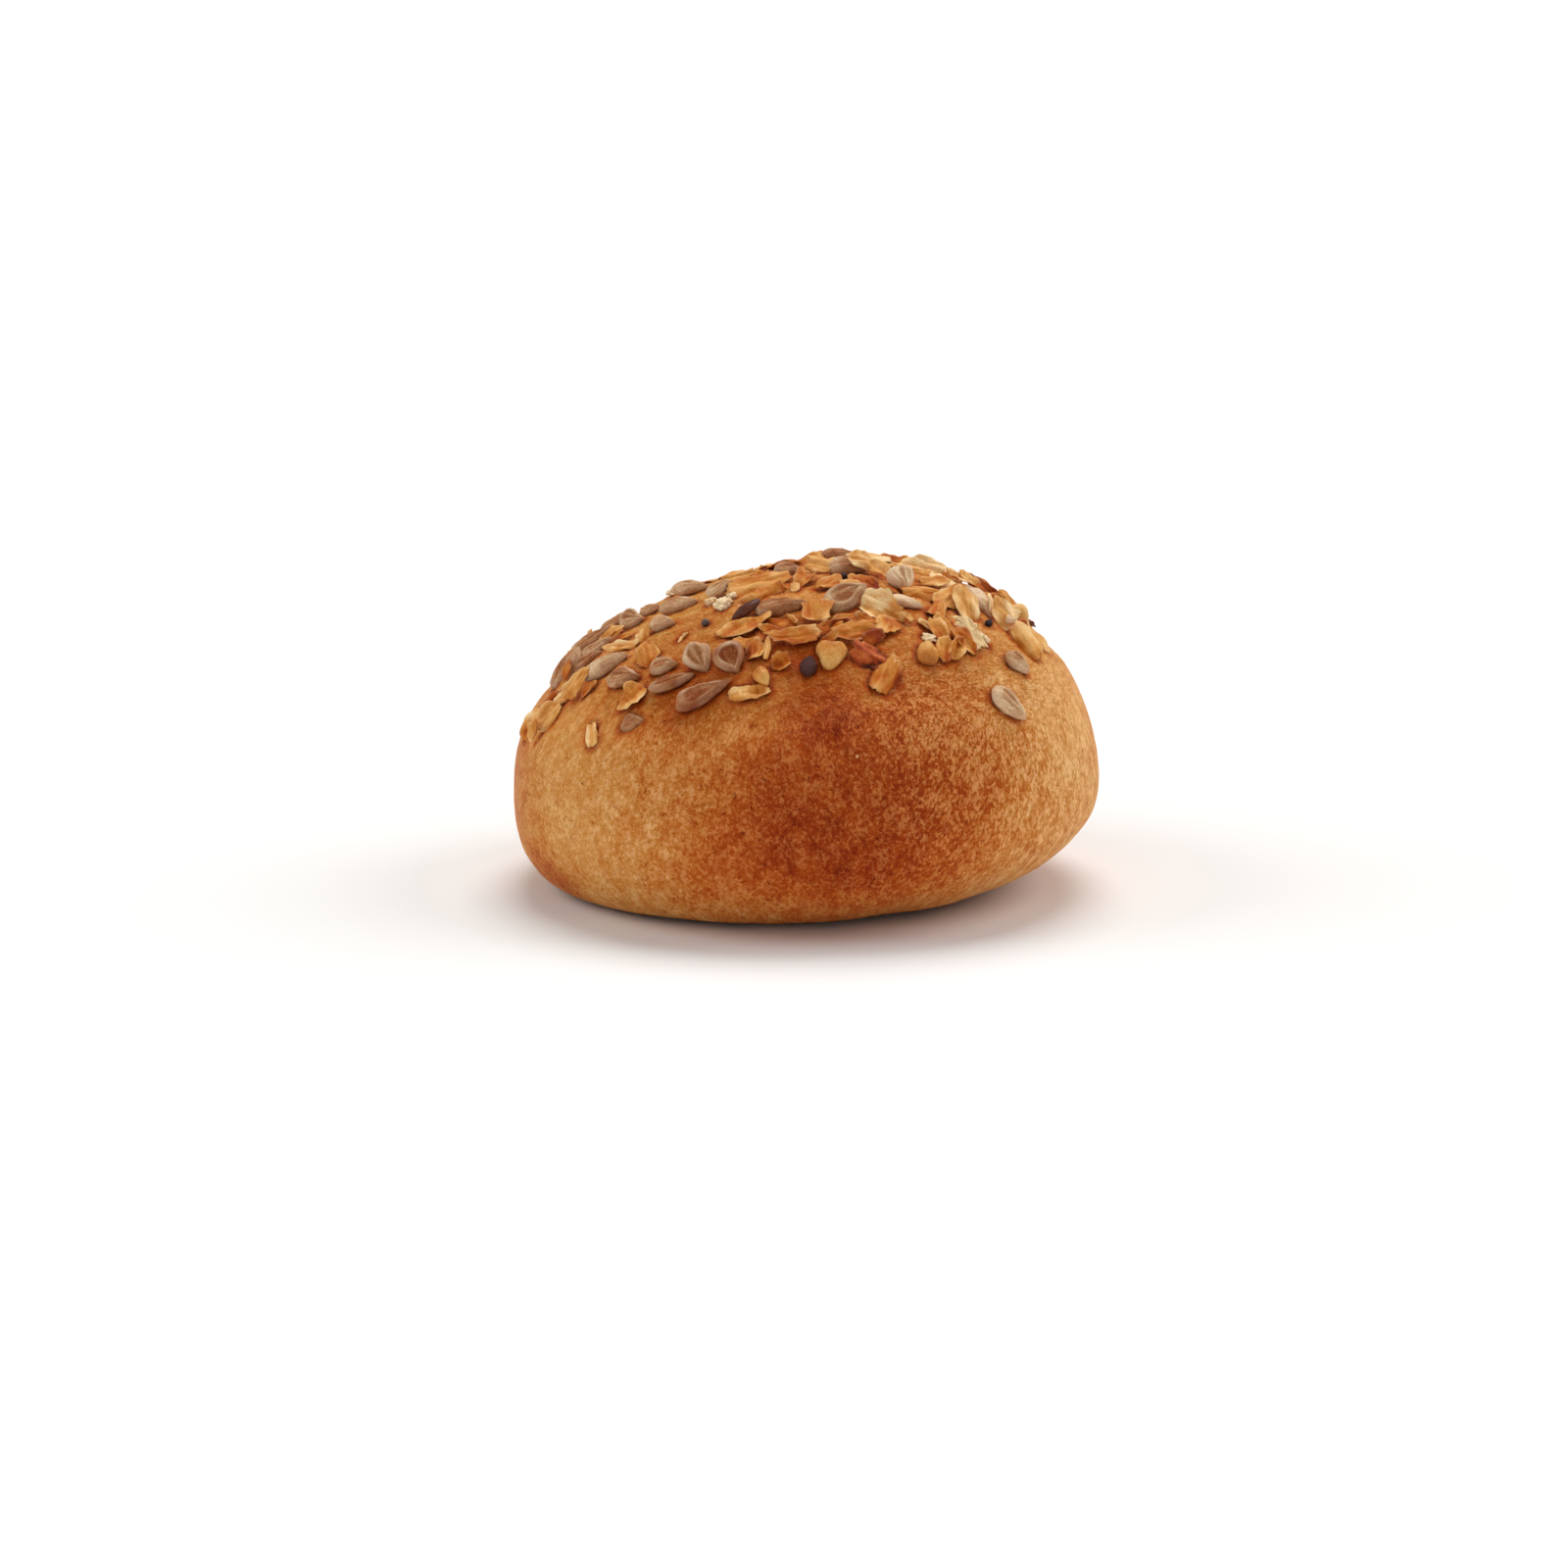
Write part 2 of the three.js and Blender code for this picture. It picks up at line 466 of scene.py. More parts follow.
def huskShape(length, width, dice, **extra):  # a split brown hull, its two halves folded together
    return flakeShape(length, width, dice, **{"fold": -0.5, "across": False, "split": 0.5, **extra})


# ---- where each thing lies: "at" in picture pixels, "turn" in degrees anticlockwise, "size" its length
# and width in mm, "tone" from pale to dark. Of the rest, "sink" is how much of its thickness is in the
# crust, "facing" how far its flat side turns to the front and "level" how far it turns level. What else
# a row says goes to its shape: "cuts" are straight breaks, each a direction and a share of its half.

def thing(at, turn, size, tone, **more):
    return {"at": at, "turn": turn, "size": size, "tone": tone, **more}


kernelSpots = [
    thing((575, 684), 58, (7.6, 3.4), 0.51, sink=0.42),
    thing((603, 651), 40, (8.0, 3.4), 0.46, sink=0.42),
    thing((606, 660), 29, (6.6, 2.6), 0.24),
    thing((596, 671), 34, (5.6, 2.8), 0.54, sink=0.42),
    thing((586, 676), 50, (5.0, 3.0), 0.38, sink=0.5),
    thing((618, 679), 33, (8.2, 3.7), 0.24, facet=0.0, furrow=0.0),
    thing((637, 691), -4, (6.4, 4.0), 0.55, cuts=[(2.6, 0.72), (3.6, 0.8)], furrow=0.8),
    thing((646, 737), 10, (4.4, 3.5), 0.44, sink=0.7),
    thing((630, 634), 36, (6.6, 3.0), 0.43, facet=0.2),
    thing((645, 632), 10, (4.2, 3.8), 0.26, facing=0.78, facet=0.8),
    thing((663, 622), 26, (3.4, 2.2), 0.28),
    thing((676, 636), 12, (4.6, 3.4), 0.29, facet=0.7),
    thing((692, 617), 12, (6.8, 3.5), 0.43, facet=0.1),
    thing((705, 600), 12, (7.0, 3.2), 0.2, facet=0.1),
    thing((734, 601), 24, (4.4, 3.0), 0.28, facet=0.3),
    thing((678, 680), 8, (4.8, 3.6), 0.43, facet=0.5),
    thing((686, 697), 17, (7.4, 2.8), 0.65, level=0.2, furrow=0.3),
    thing((713, 672), -56, (6.0, 4.6), 0.38, facing=0.93, facet=1.0, cuts=[(2.5, 0.8), (3.8, 0.82)],
          furrow=0.5, ridge=2.2),
    thing((745, 672), -64, (5.6, 4.9), 0.65, facing=0.93, facet=1.5, furrow=0.0),
    thing((718, 708), 24, (9.4, 3.9), 0.72, facing=0.8, facet=0.9, furrow=0.2, taper=1.3,
          cuts=[(2.9, 0.86)]),
    thing((797, 619), 7, (8.4, 3.9), 0.7, facet=0.1, furrow=0.3),
    thing((863, 609), 20, (7.6, 4.8), 0.39, facing=0.86, facet=1.2, furrow=0.0),
    thing((804, 581), 0, (4.4, 3.6), 0.61, facet=0.4),
    thing((867, 575), 2, (6.8, 4.2), 0.46, furrow=0.2, facing=0.64, facet=0.3),
    thing((858, 569), 4, (6.4, 3.0), 0.5, facet=0.1),
    thing((919, 590), -60, (4.9, 4.4), 0.08, facing=0.8, facet=0.4, furrow=0.3, ridge=1.6),
    thing((1000, 615), -50, (7.4, 3.3), 0.09, facet=0.2),
    thing((1036, 622), -42, (4.6, 2.8), 0.92),
    thing((1030, 636), -12, (2.5, 1.5), -0.04, facet=0.0),
    thing((1039, 676), -38, (4.6, 3.4), 0.29, facet=0.2, furrow=0.3, ridge=1.8),
    thing((1029, 719), -44, (6.8, 4.1), 0.2, facet=0.3, furrow=0.12, ridge=1.7, taper=0.75),
    thing((924, 615), -15, (5.6, 2.6), 0.0, facet=0.0, furrow=0.0),
]

flakeSpots = [
    thing((541, 739), 64, (6.0, 3.9), 0.32, facing=0.6, lift=0.3, sink=0.3),
    thing((560, 732), 52, (5.4, 4.2), 0.36, lift=0.3, sink=0.3, facing=0.75),
    thing((574, 712), 40, (4.5, 3.0), 0.34),
    thing((590, 698), 44, (6.3, 3.5), 0.37),
    thing((605, 750), 92, (4.9, 2.0), 0.14, cuts=[(0.05, 0.8), (3.1, 0.84)], sink=0.35, lift=0.3,
          fold=0.1, cup=0.1),
    thing((644, 712), 46, (5.4, 4.8), 0.41, across=True, facing=0.82, cuts=[(2.2, 0.72), (4.1, 0.76)]),
    thing((634, 660), 9, (6.9, 2.2), 0.13, level=0.2),
    thing((635, 652), 24, (4.0, 1.9), 0.56),
    thing((624, 646), 34, (4.7, 2.8), 0.33),
    thing((656, 648), 70, (3.4, 3.0), 0.36),
    thing((661, 669), -80, (5.4, 4.1), 0.47, facing=0.82, fold=0.35, cuts=[(0.7, 0.72), (-0.7, 0.72)]),
    thing((754, 589), 14, (5.6, 4.0), 0.42, facing=0.62),
    thing((775, 593), 16, (10.5, 5.1), 0.52, cuts=[(1.4, 0.8), (0.4, 0.9)]),
    thing((778, 604), 20, (7.2, 3.9), 0.56, fold=0.5, foldTurn=0.1),
    thing((760, 639), 20, (9.0, 4.6), 0.57, across=True, cuts=[(1.1, 0.62), (-0.75, 0.74)], lift=0.4,
          sink=0.35),
    thing((795, 637), -6, (6.7, 4.4), 0.62, sink=0.6, lift=0.2),
    thing((809, 632), -40, (2.9, 1.0), 0.3),
    thing((834, 627), 84, (4.9, 5.1), 0.66, facing=0.74, fold=0.3,
          cuts=[(0.0, 0.7), (1.5, 0.72), (3.14, 0.66), (4.6, 0.72)]),
    thing((821, 591), 34, (4.9, 3.5), 0.51, fold=-0.8),
    thing((812, 600), 60, (2.2, 1.5), 0.08),
    thing((830, 569), 18, (6.3, 4.6), 0.44),
    thing((837, 580), -12, (5.4, 4.0), 0.3),
    thing((847, 595), 18, (5.4, 3.5), 0.5),
    thing((899, 572), -8, (4.0, 3.9), 0.38),
    thing((881, 581), -3, (5.6, 3.9), 0.16, cuts=[]),
    thing((883, 596), -12, (6.0, 4.4), 0.68, sink=0.4),
    thing((913, 572), -14, (6.3, 3.5), 0.44),
    thing((948, 574), -16, (5.8, 4.9), 0.14, facing=0.78),
    thing((941, 588), -12, (4.7, 3.9), 0.5),
    thing((966, 586), -30, (6.0, 3.5), 0.2),
    thing((964, 597), -12, (5.6, 3.7), 0.03),
    thing((942, 604), -2, (7.4, 4.4), 0.39, fold=0.35, lift=1.3),
    thing((900, 622), -20, (7.6, 5.6), 0.16, facing=0.8, lift=1.4, fray=2.0, cup=0.1),
    thing((905, 640), 66, (5.4, 4.2), 0.46),
    thing((872, 634), 14, (7.6, 2.8), 0.74, level=0.3),
    thing((872, 645), 12, (7.2, 3.7), 0.69),
    thing((846, 640), 16, (4.9, 2.8), 0.7),
    thing((808, 652), -4, (9.0, 3.6), 0.58, level=0.5, lift=1.3, fray=1.6),
    thing((765, 708), 4, (6.6, 3.0), 0.2, across=True, sink=0.4),
    thing((797, 676), 20, (3.4, 3.0), 0.55, facing=0.9, cup=0.4, lift=1.2, fray=2.0),
    thing((772, 664), 80, (5.2, 3.4), 0.52, level=0.1, fold=0.4, sink=0.35),
    thing((783, 662), 78, (4.6, 1.2), 0.34, lift=0.8),
    thing((903, 690), 62, (7.6, 5.1), 0.53, fold=0.45, fray=1.6, sink=0.3),
    thing((971, 613), 32, (6.9, 5.1), 0.52, fold=0.5, level=0.2),
    thing((987, 615), -64, (6.9, 4.6), 0.24, fold=0.45, facing=0.78, cuts=[(0.0, 0.7), (2.6, 0.8)]),
    thing((1001, 601), -28, (6.7, 3.7), 0.9),
    thing((1016, 608), -20, (4.7, 3.2), 0.76),
    thing((1023, 625), -38, (5.4, 5.1), 0.3, facing=0.78, fold=0.4,
          cuts=[(0.2, 0.7), (1.9, 0.75), (3.6, 0.8)]),
    thing((967, 641), -40, (6.0, 3.7), 0.6, fold=0.5),
    thing((984, 655), -40, (5.4, 3.9), 0.5, fold=-0.5),
    thing((989, 646), -36, (7.4, 3.9), -0.2, fold=0.5, fray=4.2, facing=0.85,
          cuts=[(1.0, 0.8), (4.0, 0.75)]),
    thing((963, 664), 86, (4.7, 2.6), 0.69),
    thing((1047, 656), -42, (7.0, 4.2), 0.2, cuts=[], facing=0.82, fold=0.2),
    thing((1058, 650), -58, (6.3, 3.9), 0.25),
    thing((1045, 640), -40, (3.4, 2.3), 0.8),
    thing((945, 638), -24, (2.9, 2.1), 0.11, sink=0.3),
    thing((697, 651), 52, (2.9, 1.0), -0.11, sink=0.45),
    thing((925, 630), -30, (2.2, 1.3), 0.37, sink=0.3),
    thing((764, 655), 10, (4.8, 2.8), 0.37, sink=0.4),
    thing((786, 644), -8, (4.4, 2.4), 0.7, sink=0.3),
    thing((822, 650), 8, (4.8, 2.6), 0.88, sink=0.3),
    thing((846, 653), 24, (3.4, 1.9), 0.73, sink=0.3),
    thing((858, 637), 24, (3.8, 1.8), 1.08),
    thing((886, 634), -10, (4.4, 2.2), 0.62),
    thing((891, 652), 24, (4.2, 2.6), 1.07, sink=0.4),
    thing((870, 599), -24, (4.4, 3.0), 0.44, sink=0.3),
    thing((897, 588), -12, (4.8, 3.2), 0.34),
    thing((905, 604), -34, (3.6, 2.2), 0.74, sink=0.3),
    thing((929, 580), -14, (5.0, 3.0), 0.18),
    thing((953, 598), -8, (5.2, 3.0), 0.32),
    thing((976, 587), -26, (4.6, 3.0), 0.36),
    thing((988, 594), -22, (4.8, 3.0), 0.45),
    thing((957, 622), 58, (5.4, 3.0), 0.5, fold=0.3),
    thing((1009, 622), -58, (4.0, 2.6), 0.0),
    thing((1030, 611), -36, (4.4, 2.6), 0.5),
    thing((958, 643), -58, (5.0, 3.0), 0.45),
    thing((977, 662), 66, (4.6, 2.6), 0.44, fold=-0.4),
    thing((561, 716), 52, (4.6, 2.6), 0.84),
    thing((549, 748), 70, (3.8, 2.2), 0.35),
    thing((584, 689), 48, (4.0, 2.2), 0.83),
    thing((601, 703), 40, (3.6, 2.0), 0.48),
]

grainSpots = [
    thing((848, 668), -98, (4.7, 4.4), 0.62, corners=1.0, facing=0.82, sink=0.42),
    thing((945, 668), 94, (4.4, 3.1), 0.56, sink=0.42),
    thing((778, 691), -50, (3.4, 2.3), 0.62, corners=0.3),
]

crumbSpots = [
    thing((725, 614), 60, (2.0, 1.7), 0.3),
    thing((738, 615), 40, (3.0, 2.2), 0.02),
    thing((746, 609), 20, (1.8, 1.4), 0.12),
    thing((687, 600), 40, (2.4, 1.8), 0.15),
    thing((948, 651), -20, (2.2, 1.4), 0.06, sink=0.4),
    thing((1004, 651), -30, (2.0, 1.0), 0.12, sink=0.4),
]

flaxSpots = [
    thing((761, 623), 205, (5.4, 2.6), 0.4),
]
blackSeedSpots = [
    thing((825, 680), 80, (4.1, 2.6), 0.5, sink=0.2, pitted=0.1),
]
poppySpots = [
    thing((720, 636), 0, (1.35, 1.25), 0.3, sink=0.2),
    thing((1009, 636), 0, (1.35, 1.25), 0.8, sink=0.2),
    thing((861, 589), 0, (1.4, 1.3), 0.8, sink=0.2),
]
huskSpots = [
    thing((885, 669), -32, (6.2, 4.6), 0.46, facing=0.86, fold=0.0, cup=-0.16, lift=0.5, split=0.3,
          fray=2.0, cuts=[]),
    thing((1053, 635), -14, (2.8, 1.0), 0.62),
]

# "half" is half of a thing's usual thickness in mm, "facing" the least that its flat side turns to the
# front, "contact" how much darker it is against the crust, painted shade there with the glaze it lies in,
# "length" in mm and "slim" its width's share of that for the scattered ones, and "more" how many of
# those go where the picture doesn't reach
kinds = {
    "sunflowerKernels": {
        "shape": kernelShape, "spots": kernelSpots, "slot": "sunflower_kernels",
        "half": 1.0, "sink": 0.26, "facing": 0.5, "contact": 0.14,
        "length": (4.8, 8.8), "slim": (0.42, 0.66), "more": 34,
    },
    "oatFlakes": {
        "shape": flakeShape, "spots": flakeSpots, "slot": "oat_flakes",
        "half": 0.35, "sink": 0.12, "facing": 0.56, "contact": 0.24,
        "length": (3.4, 8.2), "slim": (0.48, 0.86), "more": 92,
    },
    "brokenGrains": {
        "shape": grainShape, "spots": grainSpots, "slot": "pale_seeds",
        "half": 1.3, "sink": 0.3, "facing": 0.5, "contact": 0.34,
        "length": (3.2, 4.8), "slim": (0.62, 0.9), "more": 6,
    },
    "creamCrumbs": {
        "shape": crumbShape, "spots": crumbSpots, "slot": "pale_seeds",
        "half": 0.7, "sink": 0.25, "facing": 0.3, "contact": 0.30,
        "length": (1.2, 2.8), "slim": (0.6, 0.95), "more": 14,
    },
    "flaxSeeds": {
        "shape": pipShape, "spots": flaxSpots, "slot": "dark_seeds",
        "half": 0.6, "sink": 0.25, "facing": 0.4, "contact": 0.20,
        "length": (4.6, 5.6), "slim": (0.46, 0.52), "more": 4,
    },
    "blackSeeds": {
        "shape": pipShape, "spots": blackSeedSpots, "slot": "dark_seeds",
        "half": 0.8, "sink": 0.25, "facing": 0.3, "contact": 0.20,
        "length": (2.8, 4.0), "slim": (0.58, 0.68), "more": 3,
    },
    "poppySeeds": {
        "shape": poppyShape, "spots": poppySpots, "slot": "dark_seeds",
        "half": 0.6, "sink": 0.2, "facing": 0.1, "contact": 0.20,
        "length": (1.2, 1.4), "slim": (0.9, 0.95), "more": 6,
    },
    "grainHusks": {
        "shape": huskShape, "spots": huskSpots, "slot": "oat_flakes",
        "half": 0.5, "sink": 0.1, "facing": 0.5, "contact": 0.30,
        "length": (3.6, 6.2), "slim": (0.55, 0.75), "more": 4,
    },
}
shapeChoices = ("fold", "foldTurn", "cup", "cuts", "across", "lift", "fray", "split",
                "facet", "furrow", "ridge", "taper", "corners", "pitted")

# the topping's outline in the picture, which nothing behind the crown rises above
skyline = [(524, 780), (530, 756), (534, 740), (542, 724), (553, 708), (564, 692), (576, 676),
           (586, 660), (601, 644), (625, 628), (662, 620), (684, 604), (699, 596), (738, 588),
           (761, 580), (819, 572), (833, 564), (878, 564), (955, 572), (973, 588), (1018, 604),
           (1040, 620), (1060, 636), (1071, 660), (1083, 676), (1093, 692), (1102, 708), (1111, 724),
           (1117, 740), (1121, 772)]

scatter = {
    "seed": 41,
    "tries": 400,
    "roomUsual": 1, "roomDark": 12,  # pixels that a thing behind the crown stays below the outline
    "edge": (1.4, 2.6),  # mm above the topping's edge where it thins out, and over how much
    "gap": (0.38, 0.27),  # between neighbours as a share of their reach, the second when it gets crowded
    "crowdedAfter": 250,  # tries
    "tone": (0.40, 0.17),
    "folds": (0.0, 0.0, 0.25, 0.5, -0.4),
    "pressedEvery": 3,  # a try with the thing pressed into the crust, where a proud one would show
    "longFlake": 8.7,  # mm, flakes take their turn by this length, after the kernels
}

laid = []  # (middle, reach, tree) of each thing already on the crust
everything = bmesh.new()
heaps = {}


def groundBelow(point, normal):  # height of what lies there above the place itself
    start, missed, nearby = 8 * mm, -0.5 * mm, 4 * mm
    top = point + normal * start
    away = crustTree.ray_cast(top, -normal, 2 * start)[3]
    highest = missed if away is None else start - away
    for middle, reach, tree in laid:
        if (middle - point).length < reach + nearby:
            away = tree.ray_cast(top, -normal, 2 * start)[3]
            if away is not None:
                highest = max(highest, start - away)
    return highest


laying = {
    "feltAlong": (-0.85, -0.45, 0, 0.45, 0.85), "feltAcross": (-0.7, 0, 0.7),  # where the ground is felt
    "steepest": 0.75,
    "proud": 0.35,  # how much the highest bump under a thing lifts it
    "overhang": 0.38,  # and its own tilt
    "contact": (-0.1, 0.75),  # mm above the crust over which it is darkened with painted shade
    # how much of the pale edge goes under the painted shade where it touches
    "contactRim": 0.85,
}


def restingPlane(place, normal, along, size):
    # the plane that fits what lies under a thing, as a height and two slopes
    side = normal.cross(along)
    rows = []
    for i in laying["feltAlong"]:
        for j in laying["feltAcross"]:
            u, w = i * size[0] / 2 * mm, j * size[1] / 2 * mm * (1 - 0.4 * abs(i))
            rows.append((u, w, groundBelow(place + along * u + side * w, normal)))
    height = sum(h for _, _, h in rows) / len(rows)
    slopeAlong = sum(u * h for u, _, h in rows) / sum(u * u for u, _, _ in rows)
    slopeAcross = sum(w * h for _, w, h in rows) / sum(w * w for _, w, _ in rows)
    proud = max(h - height - u * slopeAlong - w * slopeAcross for u, w, h in rows)
    return height, slopeAlong, slopeAcross, proud


def poseAt(name, spot, place, normal, along):  # how a thing lies there, and how high its middle comes
    kind = kinds[name]
    size = spot["size"]
    height, slopeAlong, slopeAcross, proud = restingPlane(place, normal, along, size)
    side = normal.cross(along)
    steep = laying["steepest"]
    slopeAlong, slopeAcross = [min(max(slope, -steep), steep) for slope in (slopeAlong, slopeAcross)]
    up = (normal - along * slopeAlong - side * slopeAcross).normalized()
    up = up.slerp(Vector((0, 0, 1)), spot.get("level", 0.0))
    if "at" in spot:  # as much of its flat side shows as in the picture
        away, most = up.angle(-sightForward), math.acos(spot.get("facing", kind["facing"]))
        if away > most:
            up = up.slerp(-sightForward, (away - most) / away)
    along = (along - up * along.dot(up)).normalized()
    side = up.cross(along)
    sink = spot.get("sink", kind["sink"])
    tippedUp = up - normal * up.dot(normal)
    overhang = abs(along.dot(tippedUp)) * size[0] / 2 + abs(side.dot(tippedUp)) * size[1] / 2
    lift = height + proud * laying["proud"]
    lift += (kind["half"] * (1 - 2 * sink) + laying["overhang"] * overhang) * mm
    return lift, Matrix((along, side, up)).transposed().to_4x4()


def layDown(name, spot, place, normal, along, dice):
    kind = kinds[name]
    size = spot["size"]
    chosen = {key: spot[key] for key in shapeChoices if key in spot}
    bm = kind["shape"](*size, dice, **chosen)
    lift, turned = poseAt(name, spot, place, normal, along)
    middle = place + normal * lift
    placed = Matrix.Translation(middle) @ turned @ Matrix.Scale(mm, 4)
    bmesh.ops.transform(bm, verts=bm.verts, matrix=placed)
    tone, shade, rim = [bm.verts.layers.float[key] for key in ("tone", "shade", "rim")]
    lines = bm.verts.layers.float_vector["lines"]
    shift = randomShift(dice)
    for v in bm.verts:  # darker where it touches the glazed crust, glaze soaked in there and painted shade, and its pale edges fade there
        found, outward = crustTree.find_nearest(v.co)[:2]
        above = (v.co - found).dot(outward) / mm
        contact = 1 - smoothStep(*laying["contact"], above)
        v[tone] = spot["tone"] + v[shade] + kind["contact"] * contact
        v[rim] *= 1 - laying["contactRim"] * contact
        v[lines] += shift
    for face in bm.faces:
        face.smooth = True
    laid.append((middle, size[0] / 2 * mm, BVHTree.FromBMesh(bm)))
    mesh = bpy.data.meshes.new("one")
    bm.to_mesh(mesh)
    bm.free()
    heaps.setdefault(name, bmesh.new()).from_mesh(mesh)
    everything.from_mesh(mesh)
    bpy.data.meshes.remove(mesh)


def layByPicture():
    order = []
    for name, kind in kinds.items():
        order += [(spot["at"][1], spot["at"][0], name, spot) for spot in kind["spots"]]
    order.sort(key=lambda row: row[:3])  # the far ones first, so that the near ones lie on them
    for row, column, name, spot in order:
        dice = random.Random(f"{name} {column} {row}")
        lift = kinds[name]["half"] * mm
        for _ in range(3):  # until its middle shows where it should
            place, normal = crustUnder(column, row, max(lift, 0.0))
            along = tangentAlong(math.radians(spot["turn"]), normal)
            lift = poseAt(name, spot, place, normal, along)[0]
        layDown(name, spot, place, normal, along, dice)


def pictureOf(point):  # where a point shows in the picture
    away = point - eye
    scale = view["lens"] / view["sensor"] * view["picture"] / away.dot(sightForward)
    half = view["picture"] / 2
    return half + away.dot(sightRight) * scale, half - away.dot(sightUp) * scale


def skylineAt(column):
    for (left, high), (right, after) in zip(skyline, skyline[1:]):
        if left <= column <= right:
            return high + (after - high) * (column - left) / (right - left)
    return 2 * view["picture"]


def showsInPicture(point, normal, height, reach, room):
    # on the seen side, or with a part of it above the topping's outline
    hit = crustTree.ray_cast(eye, (point - eye).normalized(), 2.0)
    if hit[0] is not None and (hit[0] - point).length < 0.8 * mm:
        return True
    side = normal.orthogonal().normalized()
    for sixth in range(6):
        outward = Matrix.Rotation(sixth * math.pi / 3, 3, normal) @ side
        tip = point + (outward * reach + normal * height) * mm
        if crustTree.ray_cast(eye, (tip - eye).normalized(), 2.0)[0]:
            continue
        column, row = pictureOf(tip)
        if row < skylineAt(column) + room:
            return True
    return False


def scatteredSpot(name, size, pressed, dice):
    spot = {"size": size, "tone": min(max(dice.gauss(*scatter["tone"]), 0.02), 0.95)}
    if pressed:
        spot["sink"] = 0.5
    if name == "oatFlakes":
        spot["fold"] = 0.0 if pressed else dice.choice(scatter["folds"])
        spot["foldTurn"] = dice.uniform(0, math.pi)
        spot["lift"] = 0.1 if pressed else 1.0
        if pressed:
            spot["cup"] = 0.0
    if name == "blackSeeds":
        spot["pitted"] = 0.1
    return spot


def scatterOne(name, dice):
    kind = kinds[name]
    length = dice.uniform(*kind["length"])
    size = (length, length * dice.uniform(*kind["slim"]))
    dark = kind["slot"] == "dark_seeds" or name == "grainHusks"
    for attempt in range(scatter["tries"]):
        vertex = skin.verts[dice.randrange(len(skin.verts))]
        place, normal = vertex.co.copy(), vertex.normal.copy()
        if place.z < toppingEdge(place) + dice.gauss(*scatter["edge"]) * mm:
            continue
        pressed = attempt % scatter["pressedEvery"] == scatter["pressedEvery"] - 1
        height = kind["half"] if pressed else kind["half"] * 2 * (1 - kind["sink"]) + 0.3
        room = scatter["roomDark"] if dark else scatter["roomUsual"]
        if showsInPicture(place, normal, height, length * 0.42, room):
            continue
        gap = scatter["gap"][0] if attempt < scatter["crowdedAfter"] else scatter["gap"][1]
        shares = [(place - middle).length / (reach + length / 2 * mm) for middle, reach, _ in laid]
        if min(shares) < gap + 0.25:
            continue
        along = normal.orthogonal().normalized()
        along = Matrix.Rotation(dice.uniform(0, 2 * math.pi), 3, normal) @ along
        layDown(name, scatteredSpot(name, size, pressed, dice), place, normal, along, dice)
        break


def scatterRest():
    dice = random.Random(scatter["seed"])
    wanted = [name for name, kind in kinds.items() for _ in range(kind["more"])]
    dice.shuffle(wanted)
    longest = {name: kind["length"][1] for name, kind in kinds.items()}
    longest["oatFlakes"] = scatter["longFlake"]
    wanted.sort(key=lambda name: -longest[name])  # the big ones first
    skin.verts.ensure_lookup_table()
    for name in wanted:
        scatterOne(name, dice)


layByPicture()
print("topping laid by the picture:", len(laid))
scatterRest()
print("topping in all:", len(laid))


# ---- browning and painted shade, as values on the crust's points that its finish reads

